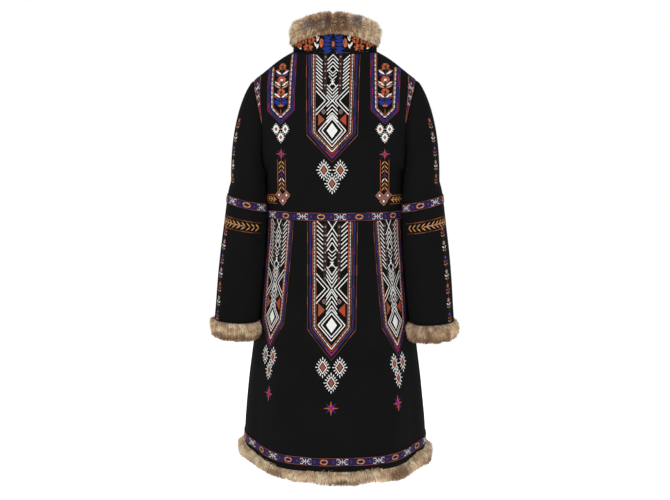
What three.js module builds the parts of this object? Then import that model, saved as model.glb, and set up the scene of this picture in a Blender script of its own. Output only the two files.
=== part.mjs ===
// Knee-length embroidered winter coat with fur collar, cuffs and hem, filled out as worn.
// Millimetres, +Z up. The wearer faces +Y, so the embroidered back faces -Y and +X is the
// wearer's right. The origin is the middle of the neck opening at shoulder height.
import * as THREE from "three";

const DEG = Math.PI / 180;

// Cloth and seams
const WALL = 2.2; // coating and lining together
const TAPE_WALL = 1.0; // woven tape sewn flat on the coat
const TAPE_LIFT = 0.37; // clearance between a tape and the cloth under it
const SEAM_PULL = 0.25; // each panel stops this far short of its seam

// Body: rings from the hem edge to the armpit. half is at the side seam, back and front are depths.
const BODY = [
  { z: -915, half: 214, back: 171, front: 164 },
  { z: -856, half: 210.5, back: 165, front: 159 },
  { z: -760, half: 201, back: 154, front: 150 },
  { z: -664, half: 189, back: 142, front: 140 },
  { z: -568, half: 178, back: 130, front: 129 },
  { z: -474, half: 168, back: 116.5, front: 118.5 },
  { z: -362, half: 159, back: 104, front: 111 },
  { z: -262, half: 161, back: 113, front: 124 },
  { z: -200, half: 161, back: 113, front: 122 },
];
const ARMPIT = { x: 161, z: -262 };
const HEM_Z = -915;
const HEM_SIDE_LIFT = { right: 14, left: 22 }; // the hem curves up at each side seam
const HEM_LIFT_FROM = -640;
const HEM_TAPE = { top: -893, bottom: -911 };
const WAIST_TAPE = { top: -353, bottom: -371 };

// Soft flutes of the skirt: angle from the centre back, width, depth at the hem, start height.
const FOLDS = [
  { at: -152, wide: 13, deep: 6, from: -420 },
  { at: -118, wide: 12, deep: -5, from: -500 },
  { at: -101, wide: 7, deep: 4, from: -600 },
  { at: -57, wide: 9, deep: -6, from: -470 },
  { at: -31, wide: 10, deep: 4, from: -600 },
  { at: 9, wide: 9, deep: -4, from: -560 },
  { at: 36, wide: 11, deep: 4, from: -480 },
  { at: 63, wide: 9, deep: -5, from: -520 },
  { at: 104, wide: 8, deep: 4, from: -580 },
  { at: 128, wide: 12, deep: -6, from: -560 },
  { at: 158, wide: 10, deep: 4, from: -500 },
];

// Shoulders and neckline
const SHOULDER = { x: 184, z: -58 };
const NECK = { half: 95, back: 70, front: 84, backZ: -3, sideZ: 4, frontZ: -52 };
const NECK_ANGLE = 46; // columns nearer the centre than this end in the neckline
const ARMHOLE = { depth: 58, inset: 8, ease: 1.6 }; // ease rounds the cloth off away from the edge
const BLADE_FULLNESS = 0.13; // share of the depth added at the shoulder blades and chest

// Sleeves, right one: tilt is the rise of a ring towards the outside.
const SLEEVE = [
  { z: -288, x: 195.0, y: 0, rx: 44.5, ry: 72, tilt: 0.0 },
  { z: -309, x: 196.3, y: -2, rx: 47.5, ry: 71, tilt: 0.12 },
  { z: -329, x: 197.8, y: -4, rx: 49.0, ry: 70, tilt: 0.23 },
  { z: -347, x: 199.2, y: -7, rx: 50.0, ry: 69, tilt: 0.23 },
  { z: -400, x: 203.8, y: -14, rx: 52.2, ry: 67, tilt: 0.16 },
  { z: -455, x: 209.5, y: -23, rx: 53.5, ry: 64.5, tilt: 0.11 },
  { z: -515, x: 215.5, y: -33, rx: 53.0, ry: 61.5, tilt: 0.08 },
  { z: -570, x: 220.5, y: -43, rx: 51.5, ry: 59, tilt: 0.06 },
  { z: -612, x: 224.5, y: -50, rx: 50.5, ry: 58, tilt: 0.06 },
];
const SLEEVE_TAPE_FROM = 2; // the tape lies between this ring and the next
const SLEEVE_CLEAR = 4.4; // least distance from a sleeve to the side of the body
const CUFF_CLEAR = 1.5;
const CAP_ROWS = [0, 0.1, 0.24, 0.4, 0.58, 0.78, 1];

// Collar stand, and fur as outward and upward points of its cross-section
const STAND_GAP = 1.1; // from the neckline up to the collar stand
const COLLAR_STAND = { back: 43, side: 15, front: 30, lean: 0.1 };
const COLLAR_FUR = [
  { out: -11, up: 0.8 },
  { out: -15, up: 16 },
  { out: -13, up: 34 },
  { out: -6, up: 44 },
  { out: 3, up: 46 },
  { out: 11, up: 38 },
  { out: 14, up: 22 },
  { out: 13, up: 6 },
  { out: 8, up: -1 },
  { out: 2.1, up: -1 },
  { out: 2.1, up: 0.8 },
];
const COLLAR_FUR_DROP = { back: 4, side: 10, front: 7 }; // how far it hangs over the stand
const CUFF_FUR = [
  { out: -11, up: -0.9 },
  { out: 1, up: -0.9 },
  { out: 5.5, up: -8 },
  { out: 7, up: -22 },
  { out: 5, up: -36 },
  { out: 0, up: -45 },
  { out: -7, up: -46 },
  { out: -12, up: -36 },
  { out: -14, up: -18 },
];
const HEM_FUR = [
  { out: -10, up: -0.8 },
  { out: 1, up: -0.8 },
  { out: 6, up: -7 },
  { out: 8, up: -18 },
  { out: 6, up: -30 },
  { out: 1, up: -38 },
  { out: -6, up: -39 },
  { out: -11, up: -30 },
  { out: -13, up: -14 },
];

// Front opening: each front passes the centre by this angle, the wearer's right one on top
const OVERLAP_ANGLE = 9;
const OVERLAP_LIFT = 4.4; // the upper front stands this far out where it lies on the lower one
const LIFT_RUN = 24; // degrees over which it rises

// Grid lines
const BACK_COLUMNS = [-90, -80, -69, -57.5, -46, -36, -26, -17, -8.5, 0];
const FRONT_SIDE = 90.001; // the side seam, taken on the front
const FRONT_COLUMNS = [FRONT_SIDE, 101, 112, 123, 134, 144, 154, 163, 171, 180, 189];
const ARMHOLE_ROWS = 10;
const SKIRT_ROWS = [-852, -800, -745, -690, -635, -580, -528, -478, -430, -395];
const BODICE_ROWS = [-330, -300];

const clamp01 = (t) => Math.min(1, Math.max(0, t));
const lerp = (a, b, t) => a + (b - a) * t;
const smooth = (t) => clamp01(t) ** 2 * (3 - 2 * clamp01(t));

// Cubic through the rows of a table, by the column named key
function along(table, key, column, value) {
  const rising = table[0][key] < table[1][key];
  let i = table.findIndex((row) => (rising ? row[key] >= value : row[key] <= value));
  i = i < 0 ? table.length - 1 : Math.max(1, i);
  const [before, a, b, after] = [
    table[Math.max(0, i - 2)],
    table[i - 1],
    table[i],
    table[Math.min(table.length - 1, i + 1)],
  ];
  const run = b[key] - a[key];
  const t = clamp01((value - a[key]) / run);
  const slopeA = ((b[column] - before[column]) / (b[key] - before[key])) * run;
  const slopeB = ((after[column] - a[column]) / (after[key] - a[key])) * run;
  const cubic = (2 * t ** 3 - 3 * t ** 2 + 1) * a[column] + (t ** 3 - 2 * t ** 2 + t) * slopeA;
  return cubic + (-2 * t ** 3 + 3 * t ** 2) * b[column] + (t ** 3 - t ** 2) * slopeB;
}

// A value that goes from back to side to front as the angle goes from 0 to 90 to 180 degrees
function roundTheNeck({ back, side, front }, angle) {
  const c = Math.cos(angle * DEG);
  return side + (c > 0 ? back - side : front - side) * c * c;
}

function foldDepth(angle, z) {
  let sum = 0;
  for (const fold of FOLDS) {
    const away = ((angle - fold.at + 540) % 360) - 180;
    const grown = smooth((fold.from - z) / (fold.from - HEM_Z));
    sum += fold.deep * Math.exp(-((away / fold.wide) ** 2)) * grown;
  }
  return sum;
}

// Outer surface of the body below the armpit. angle is 0 at the centre back, 90 at +X.
function bodyPoint(angle, z) {
  const s = Math.sin(angle * DEG);
  const c = Math.cos(angle * DEG);
  const fold = foldDepth(angle, z);
  const half = along(BODY, "z", "half", z) + fold;
  const depth = along(BODY, "z", c > 0 ? "back" : "front", z) + fold;
  const sideLift = s > 0 ? HEM_SIDE_LIFT.right : HEM_SIDE_LIFT.left;
  const lift = sideLift * s ** 4 * smooth((HEM_LIFT_FROM - z) / (HEM_LIFT_FROM - HEM_Z));
  return new THREE.Vector3(half * s, -depth * c, z + lift);
}

// Half of the body that an angle is on, and how far it is from that half's middle line
function placeRound(angle) {
  const turn = ((angle + 540) % 360) - 180;
  const fromBack = Math.abs(turn) <= 90;
  return {
    side: turn < 0 ? -1 : 1,
    fromBack,
    off: fromBack ? Math.abs(turn) : 180 - Math.abs(turn),
  };
}

// Where a column of the upper body ends: on the neckline or on the shoulder seam
function topPoint(angle) {
  const { side, fromBack, off } = placeRound(angle);
  if (off >= NECK_ANGLE) {
    const t = (off - NECK_ANGLE) / (90 - NECK_ANGLE);
    const x = lerp(NECK.half, SHOULDER.x, t);
    const z = lerp(NECK.sideZ, SHOULDER.z, t) + 7 * Math.sin(Math.PI * t) * (1 - t);
    return new THREE.Vector3(side * x, 0, z);
  }
  const turn = (off / NECK_ANGLE) * 90 * DEG;
  const depth = fromBack ? -NECK.back : NECK.front;
  const middleZ = fromBack ? NECK.backZ : NECK.frontZ;
  const z = NECK.sideZ + (middleZ - NECK.sideZ) * Math.cos(turn) ** 2;
  return new THREE.Vector3(side * NECK.half * Math.sin(turn), depth * Math.cos(turn), z);
}

// Outer surface of the upper body, v from 0 at the armpit to 1 at the neckline and shoulder
function yokePoint(angle, v) {
  const low = bodyPoint(angle, ARMPIT.z);
  const top = topPoint(angle);
  const { side, fromBack, off } = placeRound(angle);
  const overShoulder = smooth(off / NECK_ANGLE);
  const nape = 1 - v ** 2.4;
  const ridge = Math.sqrt(1 - v ** 3);
  const depth = lerp(nape, ridge, overShoulder) + BLADE_FULLNESS * v * (1 - v) ** 2;
  const edge = Math.sin(off * DEG) ** 4;
  const inset = side * edge * ARMHOLE.inset * Math.sin(Math.PI * v) ** 2;
  const x = lerp(low.x, top.x, v ** 1.5) - inset;
  const roundness = 0.5 + ARMHOLE.ease * (1 - edge);
  const bulge = edge * ARMHOLE.depth * (4 * v * (1 - v)) ** roundness;
  const y = top.y + (low.y - top.y) * depth + (fromBack ? -bulge : bulge);
  return new THREE.Vector3(x, y, lerp(low.z, top.z, v));
}

// Right armhole, turn 0 at the armpit, 90 behind, 180 at the shoulder
function armholePoint(turn) {
  const v = (1 - Math.cos(turn * DEG)) / 2;
  return yokePoint(turn <= 180 ? 90 : FRONT_SIDE, v);
}

// Moves a point of the right sleeve out to where it is just clear of the side of the body
function clearOfBody(p, clearance) {
  const half = along(BODY, "z", "half", p.z);
  const depth = along(BODY, "z", p.y < 0 ? "back" : "front", p.z);
  const share = Math.min(1, Math.abs(p.y) / depth);
  return p.setX(Math.max(p.x, half * Math.sqrt(1 - share ** 2) + clearance));
}

function sleeveRing(ring, turn) {
  const dx = -ring.rx * Math.cos(turn * DEG);
  const y = ring.y - ring.ry * Math.sin(turn * DEG);
  return clearOfBody(new THREE.Vector3(ring.x + dx, y, ring.z + ring.tilt * dx), SLEEVE_CLEAR);
}

// Outer surface of the sleeve cap, s from 0 at the armhole to 1 at the first full ring
function capPoint(turn, s) {
  const seam = armholePoint(turn);
  const full = sleeveRing(SLEEVE[0], turn);
  const outward = 1 - (1 - s) ** 2.1;
  const p = new THREE.Vector3();
  p.x = lerp(seam.x, full.x, outward);
  p.y = lerp(seam.y, full.y, outward);
  p.z = lerp(seam.z, full.z, s ** 1.25);
  p.x += 1.2 * Math.max(0, Math.cos(turn * DEG)) * (1 - s);
  return p;
}

const grid = (rows, columns, point) => rows.map((r) => columns.map((c) => point(r, c)));

// Normals of a grid of points. Rows go up or down, columns go round; sign turns them outwards.
function gridNormals(points, sign, closed) {
  return points.map((row, i) =>
    row.map((p, j) => {
      const n = row.length;
      const up = points[Math.min(points.length - 1, i + 1)][j];
      const down = points[Math.max(0, i - 1)][j];
      const next = closed ? row[(j + 1) % n] : row[Math.min(n - 1, j + 1)];
      const last = closed ? row[(j + n - 1) % n] : row[Math.max(0, j - 1)];
      const rise = new THREE.Vector3().subVectors(up, down);
      const round = new THREE.Vector3().subVectors(next, last);
      return rise.cross(round).normalize().multiplyScalar(sign);
    }),
  );
}

const moved = (points, normals, distance) =>
  points.map((row, i) =>
    row.map((p, j) => {
      const d = typeof distance === "function" ? distance(i, j) : distance;
      return p.clone().addScaledVector(normals[i][j], d);
    }),
  );

const toward = (p, q, distance) => {
  const step = new THREE.Vector3().subVectors(q, p);
  return p.clone().addScaledVector(step, distance / step.length());
};

// Pulls the outer lines of a grid back from its seams
function pullBack(points, { first = 0, last = 0, left = 0, right = 0 }) {
  const rows = points.map((row) => row.map((p) => p.clone()));
  const m = rows.length - 1;
  const n = rows[0].length - 1;
  if (first) rows[0] = rows[0].map((p, j) => toward(p, rows[1][j], first));
  if (last) rows[m] = rows[m].map((p, j) => toward(p, rows[m - 1][j], last));
  for (const row of rows) {
    if (left) row[0] = toward(row[0], row[1], left);
    if (right) row[n] = toward(row[n], row[n - 1], right);
  }
  return rows;
}

// One closed body between two grids of the same size
function wallBetween(outer, inner, closed) {
  const m = outer.length;
  const n = outer[0].length;
  const positions = [];
  for (const skin of [outer, inner])
    for (const row of skin) for (const p of row) positions.push(p.x, p.y, p.z);
  const at = (skin, i, j) => skin * m * n + i * n + (j % n);
  const index = [];
  const quad = (a, b, c, d) => index.push(a, b, c, a, c, d);
  const across = closed ? n : n - 1;
  for (let i = 0; i < m - 1; i++)
    for (let j = 0; j < across; j++) {
      quad(at(0, i, j), at(0, i, j + 1), at(0, i + 1, j + 1), at(0, i + 1, j));
      quad(at(1, i, j), at(1, i + 1, j), at(1, i + 1, j + 1), at(1, i, j + 1));
    }
  for (let j = 0; j < across; j++) {
    quad(at(0, 0, j + 1), at(0, 0, j), at(1, 0, j), at(1, 0, j + 1));
    quad(at(0, m - 1, j), at(0, m - 1, j + 1), at(1, m - 1, j + 1), at(1, m - 1, j));
  }
  if (!closed)
    for (let i = 0; i < m - 1; i++) {
      quad(at(0, i, 0), at(0, i + 1, 0), at(1, i + 1, 0), at(1, i, 0));
      quad(at(0, i + 1, n - 1), at(0, i, n - 1), at(1, i, n - 1), at(1, i + 1, n - 1));
    }
  const geometry = new THREE.BufferGeometry();
  geometry.setAttribute("position", new THREE.Float32BufferAttribute(positions, 3));
  geometry.setIndex(index);
  return facingOut(geometry);
}

// Turns a closed body's faces outwards
function facingOut(geometry) {
  if (signedVolume(geometry) < 0) {
    const index = Array.from(geometry.index.array);
    for (let k = 0; k < index.length; k += 3)
      [index[k + 1], index[k + 2]] = [index[k + 2], index[k + 1]];
    geometry.setIndex(index);
  }
  geometry.computeVertexNormals();
  return geometry;
}

function signedVolume(geometry) {
  const position = geometry.getAttribute("position");
  const corner = (k) => new THREE.Vector3().fromBufferAttribute(position, geometry.index.getX(k));
  let volume = 0;
  for (let k = 0; k < geometry.index.count; k += 3)
    volume += corner(k).dot(corner(k + 1).cross(corner(k + 2))) / 6;
  return volume;
}

const COLOURS = {
  wool: { color: 0x17161a, roughness: 0.95 },
  woolPiped: { color: 0x19181d, roughness: 0.95 },
  tape: { color: 0x2b2160, roughness: 0.7 },
  fur: { color: 0xb49a78, roughness: 1.0 },
};

const coat = new THREE.Group();
function addPiece(name, geometry, finish) {
  const mesh = new THREE.Mesh(
    geometry,
    new THREE.MeshStandardMaterial({ ...COLOURS[finish], metalness: 0 }),
  );
  mesh.name = name;
  coat.add(mesh);
}

// ---- Body panels ----
const bodyRows = [
  HEM_Z,
  HEM_TAPE.bottom,
  HEM_TAPE.top,
  ...SKIRT_ROWS,
  WAIST_TAPE.bottom,
  WAIST_TAPE.top,
  ...BODICE_ROWS,
];
const yokeRows = Array.from({ length: ARMHOLE_ROWS + 1 }, (_, k) => {
  return (1 - Math.cos((k / ARMHOLE_ROWS) * Math.PI)) / 2;
});
const backColumns = [...BACK_COLUMNS, ...BACK_COLUMNS.slice(0, -1).reverse().map((a) => -a)];
const rightColumns = FRONT_COLUMNS;
const leftColumns = FRONT_COLUMNS.map((a) => -a);

const panelPoints = (columns) => [
  ...grid(bodyRows, columns, (z, a) => bodyPoint(a, z)),
  ...grid(yokeRows, columns, (v, a) => yokePoint(a, v)),
];

// Both sides of a shoulder seam share the normal of its ridge
function ridgeNormals(normals, columns) {
  const last = normals[normals.length - 1];
  columns.forEach((angle, j) => {
    if (placeRound(angle).off >= NECK_ANGLE) last[j].setY(0).normalize();
  });
  return normals;
}

const panel = {};
for (const [name, columns, sign] of [
  ["back", backColumns, -1],
  ["right", rightColumns, -1],
  ["left", leftColumns, 1],
]) {
  const seamed = panelPoints(columns);
  const normals = ridgeNormals(gridNormals(seamed, sign, false), columns);
  panel[name] = { columns, seamed, normals };
}

// ---- Right sleeve, mirrored for the left ----
const turns = Array.from({ length: 2 * ARMHOLE_ROWS }, (_, k) => (k * 180) / ARMHOLE_ROWS);
const sleevePoints = [
  ...grid(CAP_ROWS, turns, (s, turn) => capPoint(turn, s)),
  ...grid(SLEEVE.slice(1), turns, sleeveRing),
];
const sleeveNormals = gridNormals(sleevePoints, 1, true);

// Where two walls meet at a ridge, each is as thick as the mitre between them
function mitre(own, other) {
  const meets = smooth((own.dot(other) + 0.3) / 0.6);
  const shared = own.clone().addScaledVector(other, meets).normalize();
  return shared.multiplyScalar(Math.min(1.4, 1 / shared.dot(own)));
}

function shareSideSeam() {
  for (let i = 0; i < bodyRows.length; i++) {
    const back = panel.back.normals[i];
    const shared = back[back.length - 1].clone().add(panel.right.normals[i][0]).normalize();
    back[back.length - 1] = shared;
    panel.right.normals[i][0] = shared;
    const other = shared.clone().setX(-shared.x);
    back[0] = other;
    panel.left.normals[i][0] = other;
  }
}

function mitreArmhole() {
  const first = bodyRows.length;
  const onSleeve = turns.map(() => null);
  yokeRows.forEach((_, k) => {
    const backTurn = k;
    const frontTurn = (2 * ARMHOLE_ROWS - k) % (2 * ARMHOLE_ROWS);
    const sleeveBack = sleeveNormals[0][backTurn].clone();
    const sleeveFront = sleeveNormals[0][frontTurn].clone();
    const back = panel.back.normals[first + k];
    const right = panel.right.normals[first + k];
    const left = panel.left.normals[first + k];
    const flip = (n) => n.clone().setX(-n.x);
    const backOwn = back[back.length - 1].clone();
    const frontOwn = right[0].clone();
    if (k === 0 || k === ARMHOLE_ROWS) {
      backOwn.add(frontOwn).normalize();
      frontOwn.copy(backOwn);
    }
    back[back.length - 1] = mitre(backOwn, sleeveBack);
    back[0] = flip(back[back.length - 1]);
    right[0] = mitre(frontOwn, sleeveFront);
    left[0] = flip(right[0]);
    onSleeve[frontTurn] = mitre(sleeveFront, frontOwn);
    onSleeve[backTurn] = mitre(sleeveBack, backOwn);
  });
  sleeveNormals[0] = onSleeve;
}
shareSideSeam();
mitreArmhole();

// Raises the upper front where it lies on the lower one
function overlapLift(angle) {
  const start = 180 - OVERLAP_ANGLE - LIFT_RUN;
  return OVERLAP_LIFT * smooth((angle - start) / (LIFT_RUN - 2));
}
panel.right.seamed = moved(panel.right.seamed, panel.right.normals, (i, j) =>
  overlapLift(panel.right.columns[j]),
);

const SEAMED_EDGES = { last: SEAM_PULL, left: SEAM_PULL, right: SEAM_PULL };
for (const [name, key, edges] of [
  ["back", "back", SEAMED_EDGES],
  ["front_right", "right", { last: SEAM_PULL, left: SEAM_PULL }],
  ["front_left", "left", { last: SEAM_PULL, left: SEAM_PULL }],
]) {
  const { seamed, normals } = panel[key];
  const outer = pullBack(seamed, edges);
  const inner = pullBack(moved(seamed, normals, -WALL), edges);
  panel[key].outer = outer;
  addPiece(name, wallBetween(outer, inner, false), "wool");
}

const mirrored = (points) => points.map((row) => row.map((p) => p.clone().setX(-p.x)));

const sleeveOuter = pullBack(sleevePoints, { first: SEAM_PULL });
const sleeveInner = pullBack(moved(sleevePoints, sleeveNormals, -WALL), { first: SEAM_PULL });
addPiece("sleeve_right", wallBetween(sleeveOuter, sleeveInner, true), "wool");
addPiece("sleeve_left", wallBetween(mirrored(sleeveOuter), mirrored(sleeveInner), true), "wool");

// ---- Collar ----
const neckTurns = [
  ...leftColumns.filter((a) => a > -180 && a < -180 + NECK_ANGLE).reverse(),
  ...backColumns.filter((a) => Math.abs(a) <= NECK_ANGLE),
  ...rightColumns.filter((a) => a < 180 && a > 180 - NECK_ANGLE),
].map((a) => {
  const { side, fromBack, off } = placeRound(a);
  const turn = (off / NECK_ANGLE) * 90;
  return side * (fromBack ? turn : 180 - turn);
});
const FRONT_GAP_TURN = 0.7; // the collar's two ends stop this far from the centre front
const collarTurns = [-180 + FRONT_GAP_TURN, ...neckTurns, 180 - FRONT_GAP_TURN];

function neckPlace(turn) {
  const s = Math.sin(turn * DEG);
  const c = Math.cos(turn * DEG);
  const depth = c > 0 ? NECK.back : NECK.front;
  const foot = new THREE.Vector3(NECK.half * s, -depth * c, 0);
  foot.z = NECK.sideZ + ((c > 0 ? NECK.backZ : NECK.frontZ) - NECK.sideZ) * c * c;
  const out = new THREE.Vector3(s / NECK.half, -c / depth, 0).normalize();
  return { foot, out };
}

function standPoint(turn, share) {
  const { foot, out } = neckPlace(turn);
  const height = roundTheNeck(COLLAR_STAND, turn) * share;
  return foot.addScaledVector(out, -COLLAR_STAND.lean * height).setZ(foot.z + STAND_GAP + height);
}
const STAND_SHARES = [0, 0.5, 1];
const standOuter = grid(STAND_SHARES, collarTurns, (share, turn) => standPoint(turn, share));
const standInner = standOuter.map((row) =>
  row.map((p, j) => p.clone().addScaledVector(neckPlace(collarTurns[j]).out, -WALL)),
);
addPiece("collar_stand", wallBetween(standOuter, standInner, false), "wool");

// ---- Fur rolls ----
// One closed body from a section carried through stations, each with a point and an outward way
function rollAlong(stations, section, closed) {
  const n = section.length;
  const positions = [];
  stations.forEach(({ base, out, shape }) => {
    for (const point of shape ?? section) {
      const p = base.clone().addScaledVector(out, point.out);
      positions.push(p.x, p.y, p.z + point.up);
    }
  });
  const index = [];
  const spans = closed ? stations.length : stations.length - 1;
  for (let i = 0; i < spans; i++) {
    const here = i * n;
    const there = ((i + 1) % stations.length) * n;
    for (let k = 0; k < n; k++) {
      const next = (k + 1) % n;
      index.push(here + k, there + k, there + next, here + k, there + next, here + next);
    }
  }
  if (!closed) {
    const outline = section.map((point) => new THREE.Vector2(point.out, point.up));
    const end = (stations.length - 1) * n;
    for (const face of THREE.ShapeUtils.triangulateShape(outline, [])) {
      const [a, b, c] = face.sort((p, q) => p - q);
      index.push(a, b, c, end + a, end + c, end + b);
    }
  }
  const geometry = new THREE.BufferGeometry();
  geometry.setAttribute("position", new THREE.Float32BufferAttribute(positions, 3));
  geometry.setIndex(index);
  return facingOut(geometry);
}

const collarStations = collarTurns.map((turn) => {
  const { out } = neckPlace(turn);
  const drop = roundTheNeck(COLLAR_FUR_DROP, turn);
  const shape = COLLAR_FUR.map((point) => ({
    out: point.out,
    up: point.up < 0 ? -drop : point.up,
  }));
  return { base: standPoint(turn, 1), out, shape };
});
addPiece("collar_fur", rollAlong(collarStations, COLLAR_FUR, false), "fur");

const lastRing = SLEEVE[SLEEVE.length - 1];
const cuffStations = turns.map((turn) => {
  const out = new THREE.Vector3(-Math.cos(turn * DEG), -Math.sin(turn * DEG), 0);
  out.set(out.x / lastRing.rx, out.y / lastRing.ry, 0).normalize();
  const base = sleeveRing(lastRing, turn);
  const shape = CUFF_FUR.map((point) => {
    const p = base.clone().addScaledVector(out, point.out).add(new THREE.Vector3(0, 0, point.up));
    const pressed = (clearOfBody(p.clone(), CUFF_CLEAR).x - p.x) / out.x;
    return { out: point.out + pressed, up: point.up };
  });
  return { base, out, shape };
});
const mirroredStations = cuffStations.map(({ base, out, shape }) => ({
  base: base.clone().setX(-base.x),
  out: out.clone().setX(-out.x),
  shape,
}));
addPiece("cuff_fur_right", rollAlong(cuffStations, CUFF_FUR, true), "fur");
addPiece("cuff_fur_left", rollAlong(mirroredStations, CUFF_FUR, true), "fur");

const HEM_GAP_ANGLE = 0.4; // the hem fur's two ends stop this far from the centre front
const hemAngles = [
  -180 + HEM_GAP_ANGLE,
  ...leftColumns.filter((a) => a > -179 && a < -91).reverse(),
  ...backColumns,
  ...rightColumns.filter((a) => a > 91 && a < 179),
  180 - HEM_GAP_ANGLE,
];
const hemStations = hemAngles.map((angle) => {
  const base = bodyPoint(angle, HEM_Z);
  const out = new THREE.Vector3(Math.sin(angle * DEG), -Math.cos(angle * DEG), 0);
  return { base, out };
});
addPiece("hem_fur", rollAlong(hemStations, HEM_FUR, false), "fur");

// ---- Tapes, made from the points of the panels under them ----
// Rows of the three body panels joined into one line round the coat
function lineRound(row, lift) {
  const line = [];
  for (const [key, keep] of [
    ["left", (a) => a < -91],
    ["back", () => true],
    ["right", (a) => a > 91],
  ]) {
    const { seamed, normals, columns } = panel[key];
    const piece = columns
      .map((angle, j) => ({ angle, p: seamed[row][j].clone().addScaledVector(normals[row][j], lift) }))
      .filter(({ angle }) => keep(angle));
    if (key === "left") piece.reverse();
    line.push(...piece.map(({ p }) => p));
  }
  return line;
}

function addBodyTape(name, tape) {
  const rows = [bodyRows.indexOf(tape.bottom), bodyRows.indexOf(tape.top)];
  const inner = rows.map((row) => lineRound(row, TAPE_LIFT));
  const outer = rows.map((row) => lineRound(row, TAPE_LIFT + TAPE_WALL));
  addPiece(name, wallBetween(outer, inner, false), "tape");
}
addBodyTape("waist_tape", WAIST_TAPE);
addBodyTape("hem_tape", HEM_TAPE);

const tapeRings = [0, 1].map((k) => CAP_ROWS.length - 1 + SLEEVE_TAPE_FROM + k);
const sleeveTape = [TAPE_LIFT + TAPE_WALL, TAPE_LIFT].map((lift) =>
  tapeRings.map((i) => moved([sleevePoints[i]], [sleeveNormals[i]], lift)[0]),
);
addPiece("sleeve_tape_right", wallBetween(...sleeveTape, true), "tape");
addPiece("sleeve_tape_left", wallBetween(...sleeveTape.map(mirrored), true), "tape");

// Wedge of tape on the back beside each armhole, between the last two columns of the panel:
// widest at the shoulder, a point below. Widths are shares of the distance between the columns.
const WEDGE_ROWS = [5, 6, 7, 8, 9];
const WEDGE_SHARE = { edge: 0.1, bottom: 0.22, top: 0.95 };
const WEDGE_LIFT = 1.8;
function addWedge(name, edgeColumn, inwardColumn) {
  const onPanel = WEDGE_ROWS.map((k, i) => {
    const points = panel.back.seamed[bodyRows.length + k];
    const far = lerp(WEDGE_SHARE.bottom, WEDGE_SHARE.top, i / (WEDGE_ROWS.length - 1));
    const across = [WEDGE_SHARE.edge, far].map((share) =>
      points[edgeColumn].clone().lerp(points[inwardColumn], share),
    );
    return edgeColumn < inwardColumn ? across : across.reverse();
  });
  const normals = gridNormals(onPanel, -1, false);
  const outer = moved(onPanel, normals, WEDGE_LIFT + TAPE_WALL);
  addPiece(name, wallBetween(outer, moved(onPanel, normals, WEDGE_LIFT), false), "tape");
}
addWedge("armhole_tape_right", backColumns.length - 1, backColumns.length - 2);
addWedge("armhole_tape_left", 0, 1);

export default coat;
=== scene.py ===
"""Builds an embroidered winter coat with fur collar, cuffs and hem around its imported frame.

Lengths in the tables and the functions are millimetres and become metres when a piece is made.
The wearer faces +Y, so the embroidered back faces -Y. Angles are degrees: round the body 0 is the
centre back and 90 the wearer's right side.
"""

import itertools
import math

import bmesh
import bpy
import numpy as np
from bpy.props import FloatProperty, FloatVectorProperty, IntProperty, PointerProperty
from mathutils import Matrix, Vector
from mathutils.bvhtree import BVHTree


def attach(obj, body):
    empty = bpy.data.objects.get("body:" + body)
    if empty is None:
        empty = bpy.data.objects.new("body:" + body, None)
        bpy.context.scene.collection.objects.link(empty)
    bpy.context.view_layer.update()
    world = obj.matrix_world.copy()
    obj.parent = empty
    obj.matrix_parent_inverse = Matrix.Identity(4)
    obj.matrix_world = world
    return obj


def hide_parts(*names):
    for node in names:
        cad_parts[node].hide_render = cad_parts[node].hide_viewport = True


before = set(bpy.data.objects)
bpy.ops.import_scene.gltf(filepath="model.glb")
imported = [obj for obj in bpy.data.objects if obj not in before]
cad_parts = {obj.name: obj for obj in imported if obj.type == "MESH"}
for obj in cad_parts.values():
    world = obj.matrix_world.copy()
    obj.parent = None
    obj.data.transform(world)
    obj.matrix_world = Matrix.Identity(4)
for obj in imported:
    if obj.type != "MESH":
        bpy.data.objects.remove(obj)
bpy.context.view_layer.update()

bl_info = {
    "name": "Embroidered coat",
    "version": (1, 0, 0),
    "blender": (4, 5, 0),
    "location": "View3D > Sidebar > Coat",
    "description": "Builds a knee-length embroidered coat with fur trim",
    "category": "Add Mesh",
}

MM = 0.001
SIDES = (("right", False), ("left", True))  # the wearer's side, and whether it is mirrored
UP = np.array([0, 0, 1.0])


def table(columns, *rows):
    """Rows of a table as dictionaries, from the names of its columns."""
    return [dict(zip(columns.split(), row)) for row in rows]


# ---- Sections of the coat, shared with its solids ----
WALL = 2.2
RIBBON = dict(wall=0.6, wide=18, lift=0.95, crown=0.45, cells=4)
# How far out from the cloth the flat wedges and the figures of the tapes lie
TAPE_LIFT = dict(wedge=1.2, wedge_figures=1.35, figures=1.45)
BODY = table(
    "z half back front",
    (-915, 214, 171, 164),
    (-856, 210.5, 165, 159),
    (-760, 201, 154, 150),
    (-664, 189, 142, 140),
    (-568, 178, 130, 129),
    (-474, 168, 116.5, 118.5),
    (-362, 159, 104, 111),
    (-262, 161, 113, 124),
    (-200, 161, 113, 122),
)
ARMPIT_Z = -262
HEM_Z = -915
HEM_SIDE_LIFT = dict(right=14, left=22)
HEM_LIFT_FROM = -640
HEM_TAPE = dict(top=-893, bottom=-911)
WAIST_TAPE = dict(top=-353, bottom=-371)

# Flutes of the skirt: angle, width and depth at the hem, and the height where they start
FLUTES = table(
    "at wide deep top",
    (-152, 13, 6, -420),
    (-118, 12, -5, -500),
    (-101, 7, 4, -600),
    (-57, 9, -6, -470),
    (-31, 10, 4, -600),
    (9, 9, -4, -560),
    (36, 11, 4, -480),
    (63, 9, -5, -520),
    (104, 8, 4, -580),
    (128, 12, -6, -560),
    (158, 10, 4, -500),
)

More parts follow.
